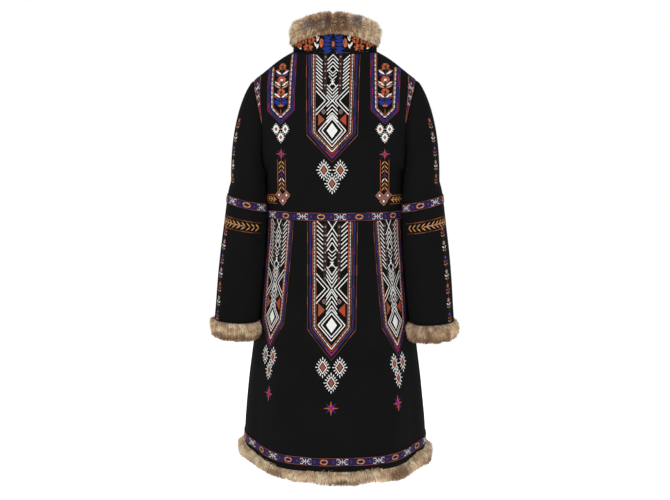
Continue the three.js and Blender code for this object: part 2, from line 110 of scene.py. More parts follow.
SHOULDER = dict(x=184, z=-58, round=7)
NECK = dict(half=95, back=70, front=84, back_z=-3, side_z=4, front_z=-52)
NECK_ANGLE = 46
ARMHOLE = dict(depth=58, inset=8, ease=1.6)
BLADE_FULLNESS = 0.13
SIDE = 90.0
FRONT_SIDE = 90.001
OVERLAP = dict(angle=9, lift=4.4, run=24)
HEM_FACING = 9.5  # black cloth that shows between the hem tape and the fur
FRONT_EDGE = 180.0 + OVERLAP["angle"]
SKIRT_SHARE = 0.72  # share of a panel's rows below the armpit
SEAM = dict(deep=1.2, wide=3.5, start=6, yoke=100)  # start in degrees past the neckline
PANEL = dict(rows=168, length=960, edge=0.02)  # edge is the share of the rows in the hem facing

# Rings of the right sleeve. tilt is the rise of a ring towards the outside.
SLEEVE = table(
    "z x y rx ry tilt",
    (-288, 195.0, 0, 44.5, 72, 0.0),
    (-309, 196.3, -2, 47.5, 71, 0.12),
    (-329, 197.8, -4, 49.0, 70, 0.23),
    (-347, 199.2, -7, 50.0, 69, 0.23),
    (-400, 203.8, -14, 52.2, 67, 0.16),
    (-455, 209.5, -23, 53.5, 64.5, 0.11),
    (-515, 215.5, -33, 53.0, 61.5, 0.08),
    (-570, 220.5, -43, 51.5, 59, 0.06),
    (-612, 224.5, -50, 50.5, 58, 0.06),
)
SLEEVE_TOP_Z = -288
BEHIND = 90  # turn of the middle of a sleeve's back
TUCK = dict(deep=3.5, share=0.025, seam=220)  # the sleeve's top edge under the armhole seam
SLEEVE_END_Z = -612
CAP_SHARE = 0.42  # share of a sleeve's rows in the sleeve cap
CAP_CURVE = dict(out=2.1, down=1.25, fold=1.2)
SLEEVE_CLEAR = 4.4
CUFF_CLEAR = 1.5
SLEEVE_TAPE = dict(top=-329, bottom=-347)

STAND_GAP = 1.1
STAND = dict(back=43, side=15, front=30, lean=0.1)
COLLAR_END = 179.3  # where the collar's ends stop short of the centre front
HEM_FUR_END = 179.6
COLLAR_FUR_DROP = dict(back=4, side=10, front=7)

# Sections of the fur rolls: places out from the edge of the cloth and up from it
COLLAR_ROLL = [
    (-11, 1), (-15, 16), (-13, 34), (-6, 44), (3, 46), (11, 38), (14, 22), (13, 6), (8, -1), (2, -1),
]
CUFF_ROLL = [
    (-11, -1), (0.4, -1), (1.6, 12), (6, 10), (8.5, 0), (7.5, -12), (4.5, -23), (-1, -30), (-7, -31),
    (-12, -25), (-14, -14),
]
HEM_ROLL = [
    (-10, -1), (-0.5, -4), (1.5, -9), (6.5, -14), (8, -22), (6, -32), (1, -38), (-6, -39), (-11, -30),
    (-13, -14),
]
# Height of the hem fur round the coat: angles and shares of the full height
HEM_FUR_SHARE = (
    [-180, -90, -62, -34, -8, 14, 40, 60, 90, 180],
    [1, 0.9, 0.84, 0.76, 0.97, 1.0, 1.02, 1.14, 1.0, 1],
)

# Wedge of tape beside each armhole: its ends as shares of the yoke, its two edges as angles, the
# millimetres of a degree, and its height
WEDGE = dict(bottom=0.5, top=0.976, edge=89.0, point=87.8, wide=80.6, degree=2.45, high=100)

# Soft creases: angle, height, half length, half width, depth, and lean in degrees from upright
BODY_CREASES = table(
    "at z long wide deep lean",
    (-78, -300, 70, 9, -2.2, 28),
    (78, -306, 74, 9, -2.4, -27),
    (-68, -232, 60, 11, 1.8, 34),
    (69, -228, 62, 12, 1.9, -36),
    (-60, -430, 60, 9, -1.8, -14),
    (58, -436, 66, 10, -1.9, 12),
    (-22, -800, 95, 10, 1.6, 4),
    (20, -770, 110, 12, -1.5, -3),
    (45, -820, 90, 11, 1.9, 5),
    (-46, -790, 105, 12, -1.8, -4),
    (-84, -700, 130, 12, 2.0, -5),
    (84, -720, 120, 12, 1.8, 5),
    (104, -300, 68, 10, -2.3, 26),
    (-106, -302, 70, 10, -2.1, -27),
    (140, -450, 80, 11, -1.6, -8),
    (-138, -440, 76, 11, 1.6, 9),
    (150, -820, 100, 12, 1.8, 4),
    (-148, -780, 110, 12, -1.7, -5),
)
SLEEVE_CREASES = table(
    "at z long wide deep lean",
    (52, -212, 70, 9, -2.6, 24),
    (75, -250, 75, 9, 2.0, 30),
    (60, -392, 46, 8, -2.4, 62),
    (52, -428, 52, 8, 2.1, 55),
    (70, -470, 60, 9, -1.8, 40),
    (112, -520, 66, 10, 1.4, -16),
    (285, -395, 55, 9, -2.6, -58),
    (300, -435, 50, 8, 2.2, -50),
    (262, -420, 45, 8, -2.0, 66),
    (310, -240, 70, 9, -2.4, -22),
    (270, -540, 60, 10, 1.5, 14),
)
DEGREE_ROUND_BODY = 2.7  # millimetres
DEGREE_ROUND_SLEEVE = 1.05
LINING_SHADE = 0.8
NAP_SHINE = 1.9  # how much lighter the tips of the nap are
WEFT_SHADE = 0.45

# ---- Colours, as linear light ----
THREADS = dict(
    white=(0.86, 0.85, 0.82),
    pale=(0.42, 0.25, 0.24),
    orange=(0.52, 0.125, 0.030),
    red=(0.42, 0.055, 0.021),
    rust=(0.33, 0.080, 0.035),
    brown=(0.11, 0.036, 0.018),
    umber=(0.018, 0.007, 0.005),
    gold=(0.70, 0.33, 0.080),
    blue=(0.008, 0.024, 0.21),
    navy=(0.007, 0.006, 0.026),
    purple=(0.066, 0.018, 0.18),
    magenta=(0.38, 0.008, 0.13),
)
THREAD_NAMES = list(THREADS)


def smooth(t):
    t = np.clip(t, 0.0, 1.0)
    return t * t * (3 - 2 * t)


def blend(a, b, t):
    return a + (b - a) * t


def wrapped(angle):
    """The same angle between -180 and 180."""
    return (angle + 540) % 360 - 180


def sin_cos(degrees):
    """Sine and cosine of angles in degrees."""
    return np.sin(np.radians(degrees)), np.cos(np.radians(degrees))


def unit(way):
    return way / np.linalg.norm(way, axis=-1, keepdims=True)


def arc_lengths(points):
    """Distance of each point from the first, along the line of points."""
    return np.concatenate([[0], np.cumsum(np.linalg.norm(np.diff(points, axis=0), axis=1))])


def through(rows, column, z):
    """Cubic through one column of a table of heights."""
    table = sorted(rows, key=lambda row: row["z"])
    key = np.array([row["z"] for row in table], float)
    value = np.array([row[column] for row in table], float)
    order = np.arange(len(key))
    before, after = np.maximum(order - 1, 0), np.minimum(order + 1, len(key) - 1)
    slope = (value[after] - value[before]) / (key[after] - key[before])
    i = np.clip(np.searchsorted(key, z), 1, len(key) - 1)
    run = key[i] - key[i - 1]
    t = np.clip((z - key[i - 1]) / run, 0, 1)
    return (
        (2 * t**3 - 3 * t**2 + 1) * value[i - 1]
        + (t**3 - 2 * t**2 + t) * slope[i - 1] * run
        + (3 * t**2 - 2 * t**3) * value[i]
        + (t**3 - t**2) * slope[i] * run
    )


def round_the_neck(sizes, turn):
    """A size that goes from back to side to front as the turn goes from 0 to 90 to 180."""
    c = sin_cos(turn)[1]
    return blend(sizes["side"], np.where(c > 0, sizes["back"], sizes["front"]), c * c)


def body_point(angle, z):
    """Outer surface of the body below the armpit."""
    s, c = sin_cos(angle)
    fold = np.zeros_like(s)
    for row in FLUTES:
        away = wrapped(angle - row["at"])
        grown = smooth((row["top"] - z) / (row["top"] - HEM_Z))
        fold = fold + row["deep"] * np.exp(-((away / row["wide"]) ** 2)) * grown
    half = through(BODY, "half", z) + fold
    depth = np.where(c > 0, through(BODY, "back", z), through(BODY, "front", z)) + fold
    side_lift = np.where(s > 0, HEM_SIDE_LIFT["right"], HEM_SIDE_LIFT["left"])
    lift = side_lift * s**4 * smooth((HEM_LIFT_FROM - z) / (HEM_LIFT_FROM - HEM_Z))
    return np.stack([half * s, -depth * c, z + lift], -1)


def place_round(angle):
    turn = wrapped(angle)
    from_back = np.abs(turn) <= 90
    off = np.where(from_back, np.abs(turn), 180 - np.abs(turn))
    return np.where(turn < 0, -1.0, 1.0), from_back, off


def top_point(angle):
    """Where a column of the upper body ends, on the neckline or the shoulder seam."""
    side, from_back, off = place_round(angle)
    t = np.clip((off - NECK_ANGLE) / (90 - NECK_ANGLE), 0, 1)
    x = blend(NECK["half"], SHOULDER["x"], t)
    z = blend(NECK["side_z"], SHOULDER["z"], t) + SHOULDER["round"] * np.sin(np.pi * t) * (1 - t)
    on_shoulder = np.stack([side * x, np.zeros_like(x), z], -1)
    turn = np.radians(np.clip(off / NECK_ANGLE, 0, 1) * 90)
    depth = np.where(from_back, -NECK["back"], NECK["front"])
    middle_z = np.where(from_back, NECK["back_z"], NECK["front_z"])
    z = NECK["side_z"] + (middle_z - NECK["side_z"]) * np.cos(turn) ** 2
    on_neck = np.stack([side * NECK["half"] * np.sin(turn), depth * np.cos(turn), z], -1)
    return np.where((off >= NECK_ANGLE)[..., None], on_shoulder, on_neck)


def yoke_point(angle, v):
    """Outer surface of the upper body, v from 0 at the armpit to 1 at the neckline and shoulder."""
    low = body_point(angle, np.full_like(angle, ARMPIT_Z))
    top = top_point(angle)
    side, from_back, off = place_round(angle)
    ridge = np.sqrt(np.clip(1 - v**3, 0, 1))
    depth = blend(1 - v**2.4, ridge, smooth(off / NECK_ANGLE)) + BLADE_FULLNESS * v * (1 - v) ** 2
    edge = np.sin(np.radians(off)) ** 4
    inset = side * edge * ARMHOLE["inset"] * np.sin(np.pi * v) ** 2
    x = blend(low[..., 0], top[..., 0], v**1.5) - inset
    roundness = 0.5 + ARMHOLE["ease"] * (1 - edge)
    bulge = edge * ARMHOLE["depth"] * np.clip(4 * v * (1 - v), 0, 1) ** roundness
    y = top[..., 1] + (low[..., 1] - top[..., 1]) * depth + np.where(from_back, -bulge, bulge)
    return np.stack([x, y, blend(low[..., 2], top[..., 2], v)], -1)


def coat_point(angle, t):
    """Outer surface of the body, t from 0 at the hem to 1 at the neckline and shoulder."""
    z = blend(HEM_Z, ARMPIT_Z, np.clip(t / SKIRT_SHARE, 0, 1))
    above = np.clip((t - SKIRT_SHARE) / (1 - SKIRT_SHARE), 0, 1)
    v = (1 - np.cos(above * np.pi)) / 2
    return np.where((t > SKIRT_SHARE)[..., None], yoke_point(angle, v), body_point(angle, z))


def row_at(z):
    """The row t of a panel at a height below the armpit."""
    return (z - HEM_Z) / (ARMPIT_Z - HEM_Z) * SKIRT_SHARE


def normals_of(point, u, w, u_range, w_range, du, dw):
    """Normals of a surface point(u, w), facing to the right of u crossed with w."""
    right, left = np.clip(u + du, *u_range), np.clip(u - du, *u_range)
    up, down = np.clip(w + dw, *w_range), np.clip(w - dw, *w_range)
    normal = np.cross(point(right, w) - point(left, w), point(u, up) - point(u, down))
    return normal / np.maximum(np.linalg.norm(normal, axis=-1, keepdims=True), 1e-9)


def crease_depth(creases, angle, z, degree):
    depth = np.zeros_like(z)
    for row in creases:
        across = wrapped(angle - row["at"]) * degree
        up = z - row["z"]
        lean = math.radians(row["lean"])
        along = up * math.cos(lean) + across * math.sin(lean)
        beside = across * math.cos(lean) - up * math.sin(lean)
        away = (along / row["long"]) ** 2 + (beside / row["wide"]) ** 2
        depth = depth + row["deep"] * np.exp(-away)
    return depth


def on_coat(angle, t, low=-SIDE, high=SIDE, lift=0.0):
    """Points and normals of the creased cloth of the body, between two seams."""
    point = coat_point(angle, t)
    normal = normals_of(coat_point, angle, t, (low, high), (0.0, 1.0), 0.4, 0.004)
    soft = crease_depth(BODY_CREASES, angle, point[..., 2], DEGREE_ROUND_BODY)
    return point + normal * (soft + lift)[..., None], normal


def overlap_lift(angle):
    """How far the upper front stands out where it lies on the lower one."""
    start = 180 - OVERLAP["angle"] - OVERLAP["run"]
    return OVERLAP["lift"] * smooth((angle - start) / (OVERLAP["run"] - 2))


def round_coat(angle, z, lift=0.0):
    """The cloth below the armpit, all the way round from edge to edge of the fronts."""
    out = overlap_lift(angle) + lift
    return on_coat(angle, row_at(z), -FRONT_EDGE, FRONT_EDGE, out)


def arc_angle(s, z, centre):
    """Angle that lies the arc s from the centre angle at each height."""
    angle = np.full_like(s, centre)
    for _ in range(4):
        steps = [centre + (angle - centre) * k for k in (0.1, 0.3, 0.5, 0.7, 0.9)]
        moved = [body_point(a + 0.5, z) - body_point(a - 0.5, z) for a in steps]
        angle = centre + s / np.mean([np.linalg.norm(way, axis=-1) for way in moved], axis=0)
    return angle


# ---- Sleeves ----
def armhole_point(turn):
    """The right armhole's seam, from the armpit up the back to the shoulder and down the front."""
    v = (1 - np.cos(np.radians(turn))) / 2
    behind, before = (yoke_point(np.full_like(turn, seam), v) for seam in (SIDE, FRONT_SIDE))
    return np.where((turn <= 180)[..., None], behind, before)


def clear_of_body(point, clearance):
    """The point moved outwards where it would come nearer to the body than the clearance."""
    half, back, front = (through(BODY, name, point[..., 2]) for name in ("half", "back", "front"))
    share = np.minimum(1, np.abs(point[..., 1]) / np.where(point[..., 1] < 0, back, front))
    moved = point.copy()
    moved[..., 0] = np.maximum(point[..., 0], half * np.sqrt(1 - share**2) + clearance)
    return moved


def ring_point(turn, z):
    s, c = sin_cos(turn)
    size = {name: through(SLEEVE, name, z) for name in ("x", "y", "rx", "ry", "tilt")}
    dx = -size["rx"] * c
    point = np.stack([size["x"] + dx, size["y"] - size["ry"] * s, z + size["tilt"] * dx], -1)
    return clear_of_body(point, SLEEVE_CLEAR)


def cap_point(turn, s):
    """Sleeve cap, s from 0 at the armhole to 1 at the first full ring."""
    seam = armhole_point(turn)
    full = ring_point(turn, np.full_like(turn, SLEEVE_TOP_Z))
    outward = (1 - (1 - s) ** CAP_CURVE["out"])[..., None]
    point = blend(seam, full, outward)
    point[..., 2] = blend(seam[..., 2], full[..., 2], s ** CAP_CURVE["down"])
    point[..., 0] += CAP_CURVE["fold"] * np.maximum(0, sin_cos(turn)[1]) * (1 - s)
    return point


def sleeve_point(turn, t):
    """Right sleeve, t from 0 at the cuff to 1 at the armhole. turn is 90 behind, 180 outside."""
    turn = turn % 360
    z = blend(SLEEVE_END_Z, SLEEVE_TOP_Z, np.clip(t / (1 - CAP_SHARE), 0, 1))
    cap = np.clip((1 - t) / CAP_SHARE, 0, 1)
    on_cap = (t > 1 - CAP_SHARE)[..., None]
    return np.where(on_cap, cap_point(turn, cap), ring_point(turn, z))


def on_sleeve(turn, t, lift=0.0):
    point = sleeve_point(turn, t)
    normal = normals_of(sleeve_point, turn, t, (-400, 800), (0.0, 1.0), 1.0, 0.004)
    soft = crease_depth(SLEEVE_CREASES, turn, point[..., 2], DEGREE_ROUND_SLEEVE)
    edges = smooth(t / 0.05) * smooth((1 - t) / 0.12)
    return point + normal * (soft * edges + lift)[..., None], normal


def sleeve_row(turn, z):
    """The row t of the sleeve at a height, on the line of that turn."""
    seam = armhole_point(turn % 360)[..., 2]
    cap = np.clip((seam - z) / (seam - SLEEVE_TOP_Z), 0, 1) ** (1 / CAP_CURVE["down"])
    below = np.clip((z - SLEEVE_END_Z) / (SLEEVE_TOP_Z - SLEEVE_END_Z), 0, 1) * (1 - CAP_SHARE)
    return np.where(z > SLEEVE_TOP_Z, 1 - cap * CAP_SHARE, below)


# ---- Collar ----
def neck_place(turn):
    """Foot of the collar stand and the way out from it."""
    s, c = sin_cos(turn)
    depth = np.where(c > 0, NECK["back"], NECK["front"])
    middle = np.where(c > 0, NECK["back_z"], NECK["front_z"])
    z = NECK["side_z"] + (middle - NECK["side_z"]) * c * c
    foot = np.stack([NECK["half"] * s, -depth * c, z], -1)
    return foot, unit(np.stack([s / NECK["half"], -c / depth, np.zeros_like(s)], -1))


def on_stand(turn, share, lift=0.0):
    """The collar stand, share from 0 at its foot to 1 at its top edge."""
    foot, out = neck_place(turn)
    height = round_the_neck(STAND, turn) * share
    point = foot + out * (lift - STAND["lean"] * height)[..., None]
    point[..., 2] = foot[..., 2] + STAND_GAP + height
    return point, out


# ---- Materials ----
def feed(tree, target, inputs):
    """Sets the inputs of a node, each given as a value or as the socket that feeds it."""
    for name, value in inputs.items():
        if isinstance(value, bpy.types.NodeSocket):
            tree.links.new(value, target.inputs[name])
        else:
            target.inputs[name].default_value = value


def node(tree, kind, inputs, **settings):
    """A shader node with its settings and its inputs."""
    made = tree.nodes.new(f"ShaderNode{kind}")
    for name, value in settings.items():
        setattr(made, name, value)
    feed(tree, made, inputs)
    return made


def new_material(name, colour, inputs):
    """A material's node tree and shader, with a base colour and other inputs."""
    material = bpy.data.materials.new(name)
    material.use_nodes = True
    tree = material.node_tree
    shader = tree.nodes["Principled BSDF"]
    feed(tree, shader, {"Base Color": (*colour, 1), **inputs})
    return tree, shader


def new_group(name, inputs, outputs):
    """An empty node group, the sockets of its inputs by name, and its output node."""
    tree = bpy.data.node_groups.new(name, "ShaderNodeTree")
    for label, value in inputs.items():
        kind = "NodeSocketFloat" if isinstance(value, float) else "NodeSocketColor"
        tree.interface.new_socket(label, in_out="INPUT", socket_type=kind).default_value = value
    for label, kind in outputs.items():
        tree.interface.new_socket(label, in_out="OUTPUT", socket_type=f"NodeSocket{kind}")
    return tree, tree.nodes.new("NodeGroupInput").outputs, tree.nodes.new("NodeGroupOutput")


def nap_group():
    """Brushed woollen nap: fine relief with slow changes of tone."""
    inputs = dict(Dark=(0.01, 0.01, 0.01, 1), Light=(0.02, 0.02, 0.02, 1), Fineness=900.0, Relief=0.25)
    outputs = dict(Colour="Color", Roughness="Float", Normal="Vector")
    tree, entry, leave = new_group("woollen nap", inputs, outputs)
    place = node(tree, "TexCoord", {}).outputs["Object"]
    fine = {"Vector": place, "Scale": entry["Fineness"], "Detail": 4}
    fibres = node(tree, "TexNoise", fine).outputs["Fac"]
    slow = node(tree, "TexNoise", {"Vector": place, "Scale": 14, "Detail": 3}).outputs["Fac"]
    tone = node(tree, "Math", {0: fibres, 1: 0.55, 2: slow}, operation="MULTIPLY_ADD").outputs[0]
    shades = {"Factor": tone, "A": entry["Dark"], "B": entry["Light"]}
    mix = node(tree, "Mix", shades, data_type="RGBA")
    rough = node(tree, "MapRange", {"Value": slow, "To Min": 0.82, "To Max": 0.98})
    relief = {"Height": fibres, "Strength": entry["Relief"], "Distance": 0.0006}
    bump = node(tree, "Bump", relief)
    made = {"Colour": mix.outputs["Result"], "Roughness": rough.outputs["Result"]}
    feed(tree, leave, {**made, "Normal": bump.outputs["Normal"]})


def floss_group():
    """Satin stitches: fine ridges across each row of embroidery, along its own UV map, with painted shade in
    the grooves between stitches and painted highlight on their crowns.
    """
    inputs = dict(Colour=(0.5, 0.5, 0.5, 1), Pitch=0.7)
    tree, entry, leave = new_group("satin floss", inputs, dict(Colour="Color", Normal="Vector"))
    place = node(tree, "UVMap", {}, uv_map="stitch").outputs["UV"]
    along = node(tree, "SeparateXYZ", {0: place}).outputs["X"]
    turns = node(tree, "Math", {0: along, 1: entry["Pitch"]}, operation="DIVIDE").outputs[0]
    wave = node(tree, "Math", {0: turns, 1: 0.5}, operation="PINGPONG").outputs[0]
    noise = node(tree, "TexNoise", {"Vector": place, "Scale": 0.9, "Detail": 3}).outputs["Fac"]
    both = node(tree, "Math", {0: wave, 1: 0.8, 2: noise}, operation="MULTIPLY_ADD").outputs[0]
    # The colour follows the ridges: painted shade in the grooves and painted highlight on the crowns, on top
    # of random tone from the noise.
    shades = {"Value": both, "From Max": 1.0, "To Min": 0.62, "To Max": 1.12}
    shade = node(tree, "MapRange", shades).outputs["Result"]
    mix = node(tree, "VectorMath", {0: entry["Colour"], "Scale": shade}, operation="SCALE")
    bump = node(tree, "Bump", {"Height": wave, "Distance": 0.0004, "Strength": 0.6})
    feed(tree, leave, {"Colour": mix.outputs["Vector"], "Normal": bump.outputs["Normal"]})


def wool_material(name, dark, light, relief):
    finish = {"Specular IOR Level": 0.04, "Sheen Weight": 0.01, "Sheen Roughness": 0.5}
    tree, shader = new_material(name, dark, finish)
    inputs = {"Dark": (*dark, 1), "Light": (*light, 1), "Relief": relief}
    nap = node(tree, "Group", inputs, node_tree=bpy.data.node_groups["woollen nap"])
    made = {"Base Color": nap.outputs["Colour"], "Roughness": nap.outputs["Roughness"]}
    feed(tree, shader, {**made, "Normal": nap.outputs["Normal"]})


def floss_material(name, colour):
    finish = {"Roughness": 0.55, "Specular IOR Level": 0.18, "Sheen Weight": 0.02}
    tree, shader = new_material(name, colour, finish)
    inputs = {"Colour": (*colour, 1)}
    floss = node(tree, "Group", inputs, node_tree=bpy.data.node_groups["satin floss"])
    feed(tree, shader, {"Base Color": floss.outputs["Colour"], "Normal": floss.outputs["Normal"]})


def ribbon_material(name, warp, weft):
    """Woven ribbon: two thread colours in a fine twill along its UV map."""
    finish = {"Roughness": 0.7, "Specular IOR Level": 0.15, "Sheen Weight": 0.02}
    tree, shader = new_material(name, warp, finish)
    place = node(tree, "UVMap", {}, uv_map="cloth").outputs["UV"]
    weave = {"Vector": place, "Scale": 260, "Distortion": 1.5}
    twill = node(tree, "TexWave", weave, wave_type="BANDS", bands_direction="DIAGONAL").outputs["Fac"]
    noise = node(tree, "TexNoise", {"Vector": place, "Scale": 60}).outputs["Fac"]
    both = node(tree, "Math", {0: twill, 1: noise}, operation="MULTIPLY").outputs[0]
    shades = {"Factor": both, "A": (*warp, 1), "B": (*weft, 1)}
    mix = node(tree, "Mix", shades, data_type="RGBA")
    bump = node(tree, "Bump", {"Height": twill, "Distance": 0.0004, "Strength": 0.5})
    feed(tree, shader, {"Base Color": mix.outputs["Result"], "Normal": bump.outputs["Normal"]})


def fur_material(name):
    """Fur: the colour of each hair is its own attribute, from the root to the tip."""
    finish = {"Roughness": 0.62, "Specular IOR Level": 0.3, "Sheen Weight": 0.15}
    tree, shader = new_material(name, (0.4, 0.3, 0.2), finish)
    tint = node(tree, "Attribute", {}, attribute_name="hair")
    feed(tree, shader, {"Base Color": tint.outputs["Color"]})


def make_materials(colours):
    nap_group()
    floss_group()
    dark, light = tuple(colours.wool), tuple(NAP_SHINE * c for c in colours.wool)
    wool_material("black wool", dark, light, 0.3)
    wool_material("black lining", tuple(LINING_SHADE * c for c in dark), dark, 0.08)
    weft = tuple(WEFT_SHADE * c for c in colours.ribbon)
    ribbon_material("violet ribbon", tuple(colours.ribbon), weft)
    fur_material("rabbit fur")
    for name, colour in THREADS.items():
        floss_material(f"{name} floss", colour)


# ---- Making pieces ----
def new_piece(name, mesh, materials, slot, *nodes):
    """An object for a finished mesh, riding the coat and standing for its solids."""
    made = bpy.data.objects.new(name, mesh)
    bpy.context.scene.collection.objects.link(made)
    for material in materials:
        mesh.materials.append(bpy.data.materials[material])
    mesh.shade_smooth()
    if nodes:
        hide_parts(*nodes)
    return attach(made, "root")


def mesh_from(bm, name):
    mesh = bpy.data.meshes.new(name)
    bm.to_mesh(mesh)
    bm.free()
    return mesh


def move_points(bm, points, mirrored):
    """Moves a mesh's points to their places in millimetres, mirrored for the wearer's left."""
    if mirrored:
        points = points * (-1, 1, 1)
        bmesh.ops.reverse_faces(bm, faces=bm.faces)
    for v, p in zip(bm.verts, points * MM):
        v.co = p


def shaped_grid(columns, rows, size, place, mirrored=False, closed=False):
    """A grid of cells laid by place(u, w), with u and w from 0 to 1, and UVs in metres."""
    bm = bmesh.new()
    layer = bm.loops.layers.uv.new("cloth")
    bmesh.ops.create_grid(bm, x_segments=columns, y_segments=rows, size=0.5)
    flat = np.array([v.co[:2] for v in bm.verts]) + 0.5
    for face in bm.faces:
        for loop in face.loops:
            u, w = flat[loop.vert.index]
            loop[layer].uv = (u * size[0] * MM, w * size[1] * MM)
    move_points(bm, place(flat[:, 0], flat[:, 1]), mirrored)
    if closed:
        bmesh.ops.remove_doubles(bm, verts=bm.verts, dist=0.00002)
    return bm


def cloth_piece(name, bm, materials, slot, node_name, thickness):
    """A piece of cloth as a shell: the grid is its outer side. The last material is its inside."""
    made = new_piece(name, mesh_from(bm, name), materials, slot, node_name)
    wall = made.modifiers.new("wall", "SOLIDIFY")
    wall.thickness = thickness * MM
    wall.offset = -1
    wall.use_even_offset = False
    wall.material_offset = len(materials) - 1


def wool_piece(name, bm, node_name):
    cloth_piece(name, bm, ["black wool", "black lining"], "wool", node_name, WALL)


def ribbon_piece(name, bm, node_name):
    cloth_piece(name, bm, ["violet ribbon"], "tape", node_name, RIBBON["wall"])


def seam_dip(distance):
    """The cloth turns in at a seam."""
    return -SEAM["deep"] * np.exp(-((distance / SEAM["wide"]) ** 2))


def body_panel(name, low, high, columns, upper):
    """One panel of the body between two angles, from the hem to the neckline and shoulder."""

    def place(u, w):
        angle = blend(low, high, u)
        seams = [abs(e) for e in (low, high) if abs(abs(e) - 90) < 1]
        lift = np.zeros_like(u)
        for edge in seams:
            near = np.abs(np.abs(angle) - edge) if len(seams) == 1 else 90 - np.abs(angle)
            lift = lift + seam_dip(near * DEGREE_ROUND_BODY) / len(seams)
        off = place_round(angle)[2]
        left = np.clip((1 - w) / (1 - SKIRT_SHARE), 0, 1)
        below_seam = SEAM["yoke"] * math.sqrt(3) * left
        lift = lift + seam_dip(below_seam) * smooth((off - NECK_ANGLE) / SEAM["start"])
        if upper:
            lift = lift + overlap_lift(angle)
        point = on_coat(angle, w, low, high, lift)[0]
        point[..., 2] -= HEM_FACING * np.clip(1 - w / PANEL["edge"], 0, 1)
        return point

    size = (abs(high - low) * DEGREE_ROUND_BODY, PANEL["length"])
    wool_piece(f"coat_{name}", shaped_grid(columns, PANEL["rows"], size, place), name)


# ---- Embroidery ----
def ray(degrees, across, up=None):
    """A place at an angle round an oval of the given reach."""
    a = math.radians(degrees)
    return across * math.cos(a), (across if up is None else up) * math.sin(a)


# Shapes of a row of stitches: its least number of cells, and its width along it from 0 to 1
STROKE_SHAPES = dict(
    bar=(1, lambda t: 1.0),
    round=(3, lambda t: 1.0 if 0.01 < t < 0.99 else 0.45),
    leaf=(4, lambda t: max(0.08, math.sin(math.pi * t) ** 0.8)),
)


